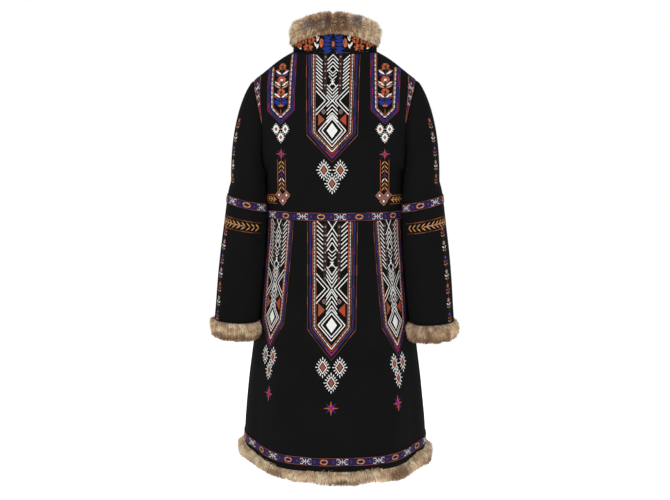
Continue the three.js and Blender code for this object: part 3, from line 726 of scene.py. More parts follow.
class Stitching:
    """Raised stitches drawn flat, in millimetres across and up, and then laid on the cloth."""

    STEP = 7.0
    SINK = 0.12
    LIFT = 0.25

    def __init__(self, across=1.0):
        self.bm = bmesh.new()
        self.uv = self.bm.loops.layers.uv.new("stitch")
        self.across = across
        self.thin = math.sqrt(across)

    def paint(self, places, colour):
        """Gives the faces of new points a thread, and the points their places as UVs."""
        for face in {f for v in places for f in v.link_faces}:
            face.material_index = THREAD_NAMES.index(colour)
            for loop in face.loops:
                loop[self.uv].uv = places[loop.vert]

    def stroke(self, start, end, width, colour, shape="bar", rise=0.6):
        """A row of satin stitches."""
        sx, sy, ex, ey = start[0] * self.across, start[1], end[0] * self.across, end[1]
        dx, dy = ex - sx, ey - sy
        length = math.hypot(dx, dy)
        least, form = STROKE_SHAPES[shape]
        steps = max(least, math.ceil(length / self.STEP))
        places = {}
        for v in bmesh.ops.create_grid(self.bm, x_segments=steps, y_segments=2, size=0.5)["verts"]:
            t, k = v.co.x + 0.5, 2 * v.co.y
            half = k * form(t) * width * self.thin / 2
            places[v] = (t * length, half)
            side = half / length
            v.co = (sx + dx * t - dy * side, sy + dy * t + dx * side, rise * (1 - k * k) - self.SINK)
        self.paint(places, colour)

    def path(self, points, width, colours, run=None, gap=0.0, rise=0.6):
        """Strokes along a line of points, in runs of the colours one after another."""
        threads = itertools.cycle(colours)
        for a, b in zip(points, points[1:]):
            length = math.dist(a, b)
            parts = max(1, round(length / run)) if run else 1
            for i in range(parts):
                shares = (i / parts, (i + 1) / parts - gap / length)
                ends = [(blend(a[0], b[0], s), blend(a[1], b[1], s)) for s in shares]
                self.stroke(*ends, width, next(threads), rise=rise)

    def chevron(self, apex, half, drop, width):
        """Two strokes from an apex, down to both sides, or up where drop is negative."""
        for side in (-1, 1):
            self.stroke((0, apex), (side * half, apex - drop), width, "white")

    def ring(self, x, y, half, high, width, colour):
        corners = [(x, y + high), (x + half, y), (x, y - high), (x - half, y), (x, y + high)]
        self.path(corners, width, [colour])

    def diamond(self, x, y, half, high, colour, rise=0.7, cells=4):
        grid = bmesh.ops.create_grid(self.bm, x_segments=cells, y_segments=cells, size=0.5)
        places = {}
        for v in grid["verts"]:
            a, b = v.co.x, v.co.y
            height = rise * (1 - max(abs(2 * a), abs(2 * b)) ** 4) - self.SINK
            v.co = ((x + (a - b) * half) * self.across, y + (a + b) * high, height)
            places[v] = (v.co.x, v.co.y)
        self.paint(places, colour)

    def spot(self, x, y, half, high, colour, rise=0.8, sides=12, turn=0.0):
        """A round or oval pad, crowned at its middle."""
        style = dict(cap_ends=True, cap_tris=True, radius=1, segments=sides)
        places = {}
        c, s = math.cos(turn), math.sin(turn)
        for v in bmesh.ops.create_circle(self.bm, **style)["verts"]:
            a, b = v.co.x * half, v.co.y * high
            crown = rise if v.co.xy.length < 0.1 else 0.0
            v.co = ((x + a * c - b * s) * self.across, y + a * s + b * c, crown - self.SINK)
            places[v] = (v.co.x, v.co.y)
        self.paint(places, colour)

    def patch(self, points, colour, rise=0.7):
        """A flat filled shape with soft edges, from corners that go round anticlockwise."""
        corners = [self.bm.verts.new((x * self.across, y, -self.SINK)) for x, y in points]
        face = self.bm.faces.new(corners)
        face.normal_update()
        bmesh.ops.inset_individual(self.bm, faces=[face], thickness=1.2, depth=rise)
        self.paint({v: (v.co.x, v.co.y) for v in corners + list(face.verts)}, colour)

    def leaf(self, x, y, length, width, degrees, colour, rise=0.75):
        dx, dy = ray(degrees, length)
        self.stroke((x, y), (x + dx, y + dy), width, colour, "leaf", rise)

    def leaves(self, x, spread, y, length, width, lean, colour, rise=0.75):
        """Two leaves on both sides of a stem, each leaning away from upright."""
        for way in (-1, 1):
            self.leaf(x + way * spread, y, length, width, 90 - way * lean, colour, rise)

    def petals(self, x, y, reach, size, colours, turn, rise, sides):
        """Oval pads in a ring, with their reach and half sizes across and up."""
        for count, colour in enumerate(colours):
            degrees = turn + count * 360 / len(colours)
            dx, dy = ray(degrees, *reach)
            self.spot(x + dx, y + dy, *size, colour, rise, sides, math.radians(degrees))

    def lay(self, name, place, mirrored=False):
        """Makes the piece: place puts each flat point on the cloth and gives its normal."""
        flat = np.array([v.co for v in self.bm.verts])
        points, normals = place(flat[:, 0], flat[:, 1])
        move_points(self.bm, points + normals * flat[:, 2:], mirrored)
        floss = [f"{thread} floss" for thread in THREAD_NAMES]
        new_piece(name, mesh_from(self.bm, name), floss, "thread")


def lay_round(centre, stretch=1.0, lift=Stitching.LIFT):
    """Lays a flat drawing on the body, its middle line at an angle, drawn out below the waist."""

    def place(s, z):
        top = WAIST_TAPE["bottom"]
        height = np.where(z < top, top + (z - top) * stretch, z)
        return round_coat(arc_angle(s, height, centre), height, lift)

    return place


def lay_on_back(cloth):
    """Lays a flat drawing straight forward on to the back panel."""
    shape = cloth.data
    faces = [p.vertices for p in shape.polygons]
    tree = BVHTree.FromPolygons([v.co for v in shape.vertices], faces)

    def place(x, z):
        points, normals = np.zeros((len(x), 3)), np.zeros((len(x), 3))
        for i, (px, pz) in enumerate(zip(x, z)):
            hit = None
            while hit is None:
                hit, normal, _, _ = tree.ray_cast(Vector((px * MM, -1, pz * MM)), Vector((0, 1, 0)))
                pz -= 1.0
            points[i], normals[i] = np.array(hit) / MM, normal
        return points + normals * Stitching.LIFT, normals

    return place


def lay_on_sleeve(centre_turn, lift=Stitching.LIFT):
    """Lays a flat drawing on the right sleeve, with its middle line at a turn."""

    def place(s, z):
        turns = centre_turn + np.arange(-200.0, 201.0, 2.0)
        level = np.full_like(turns, np.median(z))
        ring = sleeve_point(turns, sleeve_row(turns, level))
        arcs = arc_lengths(ring)
        turn = np.interp(s, arcs - arcs[len(turns) // 2], turns)
        return on_sleeve(turn, sleeve_row(turn, z), lift)

    return place


def on_wedge(angle, share, lift):
    """The tape beside the right armhole, share from 0 at its point to 1 at the shoulder."""
    v = blend(WEDGE["bottom"], WEDGE["top"], share)
    row = SKIRT_SHARE + (1 - SKIRT_SHARE) * np.arccos(1 - 2 * v) / np.pi
    return on_coat(angle, row, -SIDE, SIDE, lift)


def lay_on_wedge(s, height):
    """Lays a flat drawing on the tape beside the right armhole, from its edge and up it."""
    angle = WEDGE["edge"] - s / WEDGE["degree"]
    return on_wedge(angle, height / WEDGE["high"], TAPE_LIFT["wedge_figures"])


def lay_on_stand(s, height):
    """Lays a flat drawing on the collar stand, by the arc from the centre back and the height."""
    turn = np.zeros_like(s)
    for _ in range(6):
        middle = neck_place(turn * 0.5 + 0.5)[0] - neck_place(turn * 0.5 - 0.5)[0]
        turn = s / np.linalg.norm(middle[..., :2], axis=-1)
    share = height / round_the_neck(STAND, turn)
    return on_stand(turn, share, Stitching.LIFT)


# Lines of a panel's border: distance in from its outer edge, width, colours, run of each colour
BAND_COLOURS = ["blue"] * 7 + ["purple"] * 3 + ["blue"] * 4 + ["purple", "magenta", "purple"]
LONG_PANEL_LINES = table(
    "inset width colours run gap rise",
    (0.9, 1.3, ["brown", "rust", "brown"], 24, 0.0, 0.5),
    (7.7, 5.6, ["navy"], 60, 0.0, 0.4),
    (5.4, 0.9, ["purple", "navy"], 24, 0.0, 0.8),
    (7.9, 3.0, BAND_COLOURS, 4.4, 1.9, 0.8),
    (12.6, 1.6, ["rust", "brown", "rust"], 30, 0.0, 0.5),
    (16.5, 2.1, ["white", "white", "pale"], 2.7, 0.8, 0.6),
    (19.9, 1.6, ["orange", "rust", "orange"], 26, 0.0, 0.5),
)
SHOULDER_PANEL_LINES = table(
    "inset width colours run gap rise",
    (0.9, 1.4, ["purple", "brown", "magenta", "brown"], 17, 0.0, 0.5),
    (5.0, 5.0, ["navy"], 60, 0.0, 0.4),
    (4.0, 2.0, ["purple", "magenta", "purple", "blue"], 15, 0.8, 0.8),
    (6.9, 1.6, ["blue", "purple"], 5, 1.2, 0.8),
    (11.0, 2.7, ["pale", "white", "white"], 3.4, 1.0, 0.6),
    (13.9, 1.4, ["orange", "rust"], 24, 0.0, 0.5),
)
TIP_COLOURS = dict(blue="magenta", rust="red")  # threads that turn brighter near a panel's tip
TIP_SHARE = 0.72
HERRINGBONE = dict(outer=22.6, inner=36.8, width=2.1, rise=6)
CHEVRON = dict(half=12.2, width=2.0)
SMALL_CHEVRON = dict(half=8.6, drop=8.4, width=1.8)
STAR_REACH = 5.6

UPPER_PANEL = dict(
    top=-5, corner=-182, tip=-242, half_top=60, half_low=56.5, drop=12.8,
    bones=dict(first=-13, last=-75, pitch=7.6, drop=13.5),
    ups=[-6, -14, -22, -30, -116, -124.5, -133, -141.5],
    downs=[-85, -92.5, -100, -107],
    small_downs=[-47, -54, -61.5],
    small_ups=[-68],
    star=-67, cross=-107,
    arms=[(36, 30.5, 6.5), (36, 21.5, 15.4)],
    dots=dict(x=16.6, first=-11, last=-88, pitch=15.7),
    squares=(18.7, -131), triangle=[(30.5, -135), (30.5, -161), (16.5, -148)],
    nest=-172,
)
LOWER_PANEL = dict(
    top=-373, corner=-611, tip=-679, half_top=57, half_low=55, drop=18.6,
    bones=dict(first=-378, last=-476, pitch=9.5, drop=13.5),
    ups=[-386, -397, -408, -418.5, -526, -536.5, -547, -557],
    downs=[-386, -490, -499, -508, -517],
    small_downs=[-441, -449.5, -458],
    small_ups=[-466],
    star=-465, cross=-520,
    arms=[(35, 33, 5.5), (35, 22, 14.5)],
    dots=dict(x=15.2, first=-384, last=-498, pitch=18.8),
    squares=(17, -548), triangle=[(30, -552), (30, -582), (15, -567)],
    nest=-600,
)
SHOULDER_PANEL = dict(top=0, corner=-128, tip=-159, half_top=34, half_low=31)


def panel_outline(p, inset):
    """Corners of a panel's edge moved in by the inset: down one side, to the tip and up."""
    slope = (p["corner"] - p["tip"]) / p["half_low"]
    tip = p["tip"] + inset * math.hypot(1, slope)
    low = p["half_low"] - inset
    top = p["half_top"] - inset
    corner = tip + slope * low
    return [(-top, p["top"]), (-low, corner), (0, tip), (low, corner), (top, p["top"])]


def draw_line(work, points, line):
    """One line of a panel's border."""
    work.path(points, *(line[name] for name in ("width", "colours", "run", "gap", "rise")))


def steps_down(row):
    """Heights one pitch below another."""
    count = int((row["first"] - row["last"]) / row["pitch"]) + 1
    return [row["first"] - i * row["pitch"] for i in range(count)]


def draw_long_panel(work, p):
    """A pointed panel: lined borders, herringbone sides and a column of chevrons and diamonds."""
    for line in LONG_PANEL_LINES:
        left_top, left, tip, right, right_top = panel_outline(p, line["inset"])
        first = line["colours"][0]
        near_tip = TIP_COLOURS.get(first, first)
        for top, corner in ((left_top, left), (right_top, right)):
            turn = tuple(blend(a, b, TIP_SHARE) for a, b in zip(corner, tip))
            draw_line(work, [top, corner, turn], line)
            work.stroke(turn, tip, line["width"], near_tip, rise=line["rise"])
    bones = HERRINGBONE
    for z in steps_down(p["bones"]):
        wider = (p["half_top"] - p["half_low"]) * (p["top"] - z) / (p["top"] - p["corner"])
        outer, inner = (p["half_top"] - wider - bones[name] for name in ("outer", "inner"))
        high = z + bones["rise"]
        for side in (-1, 1):
            end = (side * inner, high - p["bones"]["drop"])
            work.stroke((side * outer, high), end, bones["width"], "white")
    half, width = CHEVRON["half"], CHEVRON["width"]
    for z in p["ups"]:
        work.chevron(z, half, p["drop"], width)
    for z in p["downs"]:
        work.chevron(z, half, -p["drop"], width)
    small = SMALL_CHEVRON
    for z in p["small_downs"]:
        work.chevron(z, small["half"], -small["drop"], small["width"])
    for z in p["small_ups"]:
        work.chevron(z, small["half"], small["drop"], small["width"])
    for degrees in (45, 90, 135):
        dx, dy = ray(degrees, STAR_REACH)
        work.stroke((-dx, p["star"] - dy), (dx, p["star"] + dy), 1.8, "white")
    cross, dots = p["cross"], p["dots"]
    for side in (-1, 1):
        work.stroke((0, cross), (side * half, cross - p["drop"]), width, "white")
        for outer, rise, apex in p["arms"]:
            for way in (-1, 1):
                work.stroke((side * outer, cross + way * rise), (side * apex, cross), width, "white")
        column = side * dots["x"]
        ground = [(column, dots["first"] + 7), (column, dots["last"] - 7)]
        work.path(ground, 8.0, ["umber"], rise=0.2)
        for z in steps_down(dots):
            work.spot(column, z, 2.0, 2.7, "pale", 0.8, 8)
            work.diamond(column, z - dots["pitch"] / 2, 1.8, 3.4, "brown", 0.5, 2)
        x, z = p["squares"]
        work.ring(side * x, z, 4.2, 5.0, 1.3, "pale")
        work.diamond(side * x, z, 2.0, 2.4, "rust", 0.5, 2)
        corners = [(side * a, b) for a, b in p["triangle"]][::-side]
        work.patch(corners, "rust" if side < 0 else "red")
    nest = p["nest"]
    for ring_half, high in ((30, 34.5), (22.6, 26.3)):
        work.ring(0, nest, ring_half, high, 2.2, "white")
    work.diamond(0, nest, 12.2, 16.8, "white", 0.9)


# Combs: half sizes and thread of the ring, half sizes of the heart, reach of the spikes across and
# up, number of them on a side, and their width
BIG_COMB, SIDE_COMB, SMALL_COMB = table(
    "half high thread heart reach spikes spike",
    (9.6, 13.8, 2.0, (5.6, 9.0), (17.0, 23.0), 3, 2.3),
    (10.6, 14.0, 2.0, (6.4, 9.2), (18.4, 23.4), 2, 2.8),
    (5.7, 8.2, 3.3, (2.7, 4.6), (9.6, 13.2), 2, 1.5),
)


# How pointed the ring and the outline of the spikes are, from 1 for a diamond to 2 for an oval
COMB_CURVE = dict(ring=1.15, spikes=1.3)


def draw_comb(work, x, z, kind):
    """A diamond ring with a comb of short spikes all round and a red heart."""
    work.ring(x, z, kind["half"], kind["high"], kind["thread"], "white")
    work.diamond(x, z, *kind["heart"], "rust", 0.8, 2)
    sides = kind["spikes"] + 1
    for turn in range(4 * sides):
        c, d = ray(90 * turn / sides, 1)
        share = (abs(c) ** COMB_CURVE["ring"] + abs(d) ** COMB_CURVE["ring"]) / 1.2
        near = (x + kind["half"] * c / share, z + kind["high"] * d / share)
        power = COMB_CURVE["spikes"]
        reach = (abs(c) ** power + abs(d) ** power) ** (-1 / power)
        far = (x + kind["reach"][0] * reach * c, z + kind["reach"][1] * reach * d)
        work.stroke(near, far, kind["spike"], "white", "round")


def draw_star(work, x, z, reach):
    """Eight thin rays with a tuft at the heart."""
    for degrees, colour in ((45, "blue"), (135, "blue"), (0, "orange"), (90, "orange")):
        dx, dy = ray(degrees, reach)
        work.stroke((x - dx, z - dy), (x + dx, z + dy), reach * 0.15, colour, "round", 0.7)
    for degrees in range(0, 360, 45):
        work.leaf(x, z, reach * 0.58, reach * 0.19, degrees + 22, "magenta", 1.2)


WHEAT = dict(top=-236, bottom=-310, half=7.4, pitch=9.6)


def draw_wheat(work, x):
    """Two side lines with chevrons one below another, like an ear of wheat."""
    top, bottom, half, pitch = WHEAT.values()
    for side in (-1, 1):
        edge = x + side * half * 1.25
        work.path([(edge, top), (edge, bottom)], 1.2, ["rust", "orange"], 22)
    threads = itertools.cycle(["gold", "gold", "pale", "purple", "white"])
    z = top - 3
    while z > bottom + pitch * 0.6:
        colour = next(threads)
        for side in (-1, 1):
            end = (x + side * half * 0.95, z - pitch * 0.95)
            work.stroke((x + side * 0.6, z), end, 2.0, colour, "leaf")
        z -= pitch
    work.stroke((x, top - 4), (x, bottom + 4), 1.1, "brown")


def draw_trio(work, x, z, half, high):
    """Three small red diamonds with white hearts, two above one."""
    for dx, dz in ((-1.35 * half, 0), (1.35 * half, 0), (0, -1.65 * high)):
        place = (x + dx, z + dz)
        work.ring(*place, half, high, 2.8, "rust")
        work.ring(*place, half * 1.32, high * 1.28, 0.9, "pale")
        work.diamond(*place, half * 0.42, high * 0.5, "white", 0.8, 2)


def draw_blossom(work, x, z, half, high, heart="umber"):
    """An oval blossom of seven petals in four colours round its heart."""
    colours = ("orange", "rust", "orange", "red", "orange", "brown", "rust")
    size = (0.36 * half, 0.40 * high)
    work.petals(x, z, (0.60 * half, 0.60 * high), size, colours, 108 / 7, 1.0, 9)
    work.spot(x, z, 0.34 * half, 0.30 * high, heart, 1.3, 9)


def draw_shoulder_panel(work, x, side):
    """A narrow pointed panel of leaves and flowers that runs up to the shoulder seam."""
    for line in SHOULDER_PANEL_LINES:
        low_x, low, tip, high_x, high = panel_outline(SHOULDER_PANEL, line["inset"])
        for way, (top_x, _), corner in ((-1, low_x, low), (1, high, high_x)):
            top_z = -32 if way == side else -2
            points = [(x + a, b) for a, b in ((top_x, top_z), corner, tip)]
            draw_line(work, points, line)
    work.path([(x, -30), (x + side * 2, -80), (x, -120)], 1.5, ["brown"], 30)
    for z, size, heart in ((-31, 9.0, "umber"), (-61, 10.5, "white"), (-88, 9.5, "umber")):
        draw_blossom(work, x, z, size, size * 0.95, heart)
        work.leaves(x, 5, z - 7, size * 1.3, size * 0.5, 105, "rust", 0.7)
    for z, lower in ((-49, "purple"), (-74, "pale"), (-100, "purple")):
        work.leaves(x, 1.5, z, 17, 4.6, 56, "white", 0.8)
        work.leaves(x, 1.5, z - 5, 15, 4.4, 66, lower, 0.7)
    work.leaves(x, 0, -117, 18, 10, 52, "blue", 1.0)
    work.leaves(x, 0, -111, 16, 9, 84, "blue", 0.9)
    work.spot(x, -117, 6.5, 3.2, "orange", 1.3, 10)
    work.stroke((x, -124), (x, -138), 2.0, "rust", "leaf")


def draw_bracket(work, x, z, size):
    """The white figure of the woven tapes: two hooked arms beside a small cross."""

    def line(start, end, width, colour="white"):
        ends = [(x + a * size, z + b * size) for a, b in (start, end)]
        work.stroke(*ends, width * size, colour)

    for sx in (-1, 1):
        for sz in (-1, 1):
            line((sx * 2.2, 0), (sx * 7.6, sz * 5.2), 1.1)
            line((sx * 6, sz * 5.4), (sx * 12, sz * 5.4), 1.1)
            line((sx * 11.8, sz * 1.6), (sx * 11.8, sz * 5.4), 1.0, "pale")
        line((sx * 1.5, 0), (sx * 9, 0), 1.0)
    line((0, -5.4), (0, 5.4), 1.2)


def draw_ring_spot(work, x, z, size):
    """The open gold ring of the woven tapes."""
    ring = [ray(30 * i, 6.9 * size, 4.1 * size) for i in range(13)]
    points = [(x + dx, z + dz) for dx, dz in ring]
    work.path(points, 2.1 * size, ["gold", "gold", "orange"], rise=1.0)


# The repeat of each tape: height, half of the arc it runs, place of a ring, and pitch
TAPE_HALF = 9
TAPE_REPEATS = dict(
    zip(
        ("waist", "hem", "sleeve"),
        table("z arc ring pitch", (-362, 438, -25, 85), (-902, 620, -15, 82), (-338, 189, -4, 76)),
    )
)


def draw_tape(work, z, arc, ring, pitch):
    """Edge lines and the repeat of one tape along its arc."""
    for side in (-1, 1):
        edge = z + side * (TAPE_HALF - 0.9)
        work.path([(-arc, edge), (arc, edge)], 1.0, ["rust", "brown", "rust"], 26)
    first = math.ceil((-arc - ring) / pitch + 0.1)
    last = math.floor((arc - ring) / pitch - 0.1)
    for i in range(first, last + 1):
        draw_ring_spot(work, ring + i * pitch, z, (TAPE_HALF - 1.6) / 6.4)
        middle = ring + (i + 0.5) * pitch
        if middle < arc - 14:
            draw_bracket(work, middle, z, (TAPE_HALF - 2.2) / 6.4)
            for side in (-1, 1):
                work.spot(middle + side * 20, z, 2.6, 4.2, "purple", 0.6, 6)


def draw_wedge(work):
    """Edge lines and white figures of the tape beside an armhole, widest at the shoulder."""
    work.path([(3.5, 4), (19.5, 97)], 1.5, ["orange", "rust", "magenta"], 14)
    work.path([(1.2, 10), (1.2, 97)], 1.2, ["rust", "orange"], 18)
    for height, size in ((44, 0.42), (60, 0.55), (78, 0.72)):
        draw_bracket(work, 1.2 + 0.09 * height, height, size)
        above = height + 9
        work.ring(1.2 + 0.095 * above, above, 2.6 * size, 3.2 * size, 1.2, "gold")


# The chain of flowers down a sleeve: its turn, height of the first, pitch, number, and the stretch of the
# sleeve's tape and leaves that stays free of them. Below it, a flower's sizes.
CHAIN = dict(turn=142, first=-150.0, pitch=31, count=15, free_from=-300, free_to=-372)
FLOWER = dict(reach=(3.248, 3.248), petal=(2.464, 1.848), heart=1.456)


def draw_sleeve_chain(work):
    """Flowers and leaves one below another on a stem."""
    for count in range(CHAIN["count"]):
        z = CHAIN["first"] - CHAIN["pitch"] * count
        if CHAIN["free_to"] < z < CHAIN["free_from"]:
            continue
        petals = [("rust", "pale", "blue", "pale")[count % 4]] * 5
        turn = 90 + 20 * count
        work.petals(0, z, FLOWER["reach"], FLOWER["petal"], petals, turn, 0.9, 10)
        work.spot(0, z, FLOWER["heart"], FLOWER["heart"], "pale", 1.2, 8)
        work.leaves(0, 1.2, z - 11, 8.5, 3.2, 55, "white" if count % 2 else "rust")
        work.leaves(0, 1.2, z - 17, 7.5, 3.0, 60, "pale")
        work.stroke((0, z - 5), (0, z - 24), 1.2, "brown")


# Bands of leaves: height, first leaf, pitch, number, and a leaf's length, reach and width
WAIST_LEAVES = dict(z=-326.5, first=9, pitch=11, count=5, long=9, rise=6.5, wide=2.6)
SLEEVE_LEAVES = dict(z=-386, first=-40, pitch=11.5, count=10, long=10, rise=8.5, wide=2.4)


def draw_leaf_band(work, band, side=1):
    """Pairs of gold leaves along a line, all pointing one way."""
    z = band["z"]
    for i in range(band["count"]):
        x = side * (band["first"] + band["pitch"] * i)
        for way in (-1, 1):
            end = (x + side * band["long"], z + way * band["rise"])
            work.stroke((x, z), end, band["wide"], "gold", "leaf")


# Blossoms of the collar stand: place beside the middle, height, and half sizes
COLLAR_BLOSSOMS = (
    (52, 27, 9.5, 8.0),
    (60, 10, 14.0, 7.6),
    (71, 24, 8.0, 7.0),
    (87, 13, 9.0, 6.5),
    (104, 15, 7.0, 5.5),
)


def draw_collar_half(work, way):
    """One side of the collar stand: half of the blue block, its flowers and its leaves."""

    def leaves(rows, length, width, colour, rise=0.75):
        for x, height, lean in rows:
            work.leaf(way * x, height, length, width, 90 - way * lean, colour, rise)

    for height, length, lean in ((31, 20, 72), (25, 22, 82), (18, 22, 90), (11, 22, 98), (5, 19, 106)):
        leaves([(4, height, lean)], length, 8.0, "blue", 1.0)
    leaves([(2, 35, 50)], 12, 5.0, "blue", 0.9)
    work.spot(way * 27, 21, 4.6, 10.0, "orange", 1.0, 12)
    work.spot(way * 26, 22, 2.0, 6.0, "brown", 1.5, 10)
    leaves([(38, 31, 10), (38, 24, -25), (38, 12, 30), (38, 8, -20)], 12, 4.6, "white")
    leaves([(41, 28, -70)], 9, 3.4, "gold", 0.9)
    for x, height, half, high in COLLAR_BLOSSOMS:
        draw_blossom(work, way * x, height, half, high)
    leaves([(74, 31, 60), (83, 27, 30), (90, 22, 55), (79, 6, 80)], 9, 3.8, "white")
    leaves([(48, 20, 80), (70, 20, 95), (92, 12, 70)], 13, 4.2, "rust", 0.7)


# ---- Fur ----
# Tones of the hairs, as linear light
FUR_TONES = dict(
    tan=(0.52, 0.275, 0.125),
    cream=(0.99, 0.71, 0.46),
    brown=(0.080, 0.036, 0.015),
    grey=(0.20, 0.185, 0.21),
)


def waves(seed, x, y, size):
    """Smooth uneven values from about -1 to 1 that change over the given size."""
    rng = np.random.default_rng(seed)
    total = np.zeros_like(x)
    for _ in range(7):
        way = rng.uniform(0, 2 * np.pi)
        rate = rng.uniform(0.6, 1.7) / size * 2
        total = total + np.sin((x * math.cos(way) + y * math.sin(way)) * rate + rng.uniform(0, 6.28))
    return total / 2.6


def roll_place(section, base_of):
    """A fur roll as a function of the place along it and round its section, both 0 to 1."""
    ring = np.array(section + section[:1], float)
    steps = arc_lengths(ring)
    girth = steps[-1]

    def at(share):
        arc = (share % 1.0) * girth
        return np.interp(arc, steps, ring[:, 0]), np.interp(arc, steps, ring[:, 1])

    def place(u, w, shrink=0.0):
        out_by, up_by = at(w)
        ahead, behind = at(w + 0.02), at(w - 0.02)
        d_out, d_up = ahead[0] - behind[0], ahead[1] - behind[1]
        size = np.hypot(d_out, d_up)
        d_out, d_up = d_out / size, d_up / size
        base, out = base_of(u, out_by, up_by)
        face = out * d_up[..., None] - UP * d_out[..., None]
        centre = ring[:-1].mean(axis=0)
        sign = np.sign(d_up * (out_by - centre[0]) - d_out * (up_by - centre[1]))
        face = face * sign[..., None]
        return base - face * shrink, face, out, girth

    return place


def paint_hair(mesh, shades):
    """Gives each point of a mesh its colour of hair."""
    colour = mesh.color_attributes.new("hair", "FLOAT_COLOR", "POINT")
    colour.data.foreach_set("color", np.column_stack([shades, np.ones(len(shades))]).ravel())


# The skin under the hair: its girth, how deep it lies, and its tone, which is darkened as painted shade
# between the hair roots
SKIN = dict(girth=130, sink=4.0, share=0.25, shade=0.4)
# Fur trims: cells along and round the skin, length, whether it closes to a ring, how deep the
# hairs root, where round the section they end, and their seed
TRIMS = dict(
    zip(
        ("collar", "cuff_right", "cuff_left", "hem"),
        table(
            "columns rows length closed root last seed",
            (150, 24, 560, False, 6.4, 0.93, 11),
            (90, 22, 360, True, 4.2, 0.98, 31),
            (90, 22, 360, True, 4.2, 0.98, 41),
            (240, 20, 1170, False, 4.2, 0.98, 52),
        ),
    )
)


def fur_skin(name, solid, place, tone, trim):
    """The skin of a fur trim, sunk below the tips of its hair and darkened as painted shade."""
    size = (trim["length"], SKIN["girth"])
    bm = shaped_grid(trim["columns"], trim["rows"], size, lambda u, w: place(u, w, SKIN["sink"])[0])
    bmesh.ops.remove_doubles(bm, verts=bm.verts, dist=0.00005)
    if not trim["closed"]:
        bmesh.ops.holes_fill(bm, edges=[e for e in bm.edges if e.is_boundary], sides=0)
    bmesh.ops.recalc_face_normals(bm, faces=bm.faces)
    mesh = mesh_from(bm, name)
    spots = np.array([v.co for v in mesh.vertices]) / MM
    low = np.full(len(spots), SKIN["share"])
    # The skin takes the colour of the hair near its root, darkened by the shade of SKIN: painted shade
    # between the roots.
    paint_hair(mesh, tone(spots, low, np.zeros(len(spots))) * SKIN["shade"])
    new_piece(name, mesh, ["rabbit fur"], "fur", solid)


def fur_hair(name, place, tone, comb, trim, count):
    """Tapered hairs over a roll, each of three sides from root to middle and middle to tip."""
    full = sizes().hair_length / MM
    seed = trim["seed"]
    rng = np.random.default_rng(seed)
    u, w = rng.uniform(0.0, 1.0, count), rng.uniform(0.02, trim["last"], count)
    root, face, out, girth = place(u, w, trim["root"])
    along, across = u * trim["length"], w * girth
    round_way = np.cross(UP, out)
    sway = waves(seed + 1, along, across, 13) * 0.38 + rng.normal(0, 0.18, count)
    raised = waves(seed + 2, along, across, 14) * 0.22 + rng.normal(0, 0.10, count)
    lay = comb(face, out)
    way = face * (0.55 + raised)[:, None] + lay * 0.85 + round_way * (sway * 0.6)[:, None]
    way = unit(way)
    uneven = 0.11 * waves(seed + 3, along, across, 17) + rng.normal(0, 0.12, count)
    long = np.clip(full * (1 + uneven), 0.45 * full, 1.35 * full)
    long = long * (1 - 0.42 * np.clip((face * lay).sum(axis=1), 0, 1))
    middle = root + way * (0.55 * long)[:, None] + face * (0.07 * long)[:, None]
    tip = root + way * long[:, None] + lay * (0.08 * long)[:, None]
    side = unit(np.cross(way, rng.normal(0, 1, (count, 3))))
    other = np.cross(way, side)
    thick = sizes().hair_width / MM * rng.uniform(0.75, 1.25, count)
    corners = []
    for centre, share in ((root, 0.5), (middle, 0.42)):
        for k in range(3):
            a = 2 * math.pi * k / 3
            offset = side * math.cos(a) + other * math.sin(a)
            corners.append(centre + offset * (thick * share)[:, None])
    points = np.stack([*corners, tip], 1).reshape(-1, 3)
    pattern = []
    for k in range(3):
        n = (k + 1) % 3
        pattern += [(k, n, 3 + n), (k, 3 + n, 3 + k), (3 + k, 3 + n, 6)]
    faces = (np.arange(count)[:, None, None] * 7 + np.array(pattern)).reshape(-1, 3)
    mesh = bpy.data.meshes.new(name)
    mesh.vertices.add(len(points))
    mesh.vertices.foreach_set("co", (points * MM).ravel())
    mesh.loops.add(faces.size)
    mesh.loops.foreach_set("vertex_index", faces.ravel())
    mesh.polygons.add(len(faces))
    mesh.polygons.foreach_set("loop_start", np.arange(0, faces.size, 3))
    mesh.update(calc_edges=True)
    level = rng.normal(0, 0.8, count) + 0.8 * waves(seed + 4, along, across, 8)
    levels = ((root, 0.0, 3), (middle, 0.55, 3), (tip, 1.0, 1))
    shades = []
    for spot, share, times in levels:
        shades += [tone(spot, np.full(count, share), level)] * times
    paint_hair(mesh, np.stack(shades, 1).reshape(-1, 3))
    new_piece(name, mesh, ["rabbit fur"], "fur")


def fur_trim(name, solid, place, tone, comb, trim, count):
    """The skin and the hair of one fur trim."""
    fur_skin(f"{name}_fur_skin", solid, place, tone, trim)
    fur_hair(f"{name}_fur_hair", place, tone, comb, trim, count)


def mix_tones(weights, level):
    """Colours of the tones by their weights, brighter or darker by the level."""
    weights = {name: np.maximum(weight, 0) ** 1.5 for name, weight in weights.items()}
    shade = sum(w[:, None] * np.array(FUR_TONES[name]) for name, w in weights.items())
    shade = shade / sum(weights.values())[:, None]
    return np.clip(shade * np.exp(0.40 * level)[:, None], 0.004, 0.97)


# Patches of the collar's fur, by their place across and up, their size and their strength
COLLAR_PATCHES = table(
    "tone x z wide high weight",
    ("grey", -57, 60, 17, 10, 2.2),
    ("grey", -22, 61, 9, 13, 1.3),
    ("grey", 54, 75, 9, 16, 5.0),
    ("brown", 20, 72, 17, 22, 1.1),
    ("brown", -11, 78, 6, 24, 1.2),
    ("brown", -38, 93, 30, 9, 0.7),
    ("cream", 39, 82, 8, 22, 2.8),
    ("cream", 86, 66, 24, 40, 6.0),
    ("cream", -88, 52, 20, 26, 2.4),
)


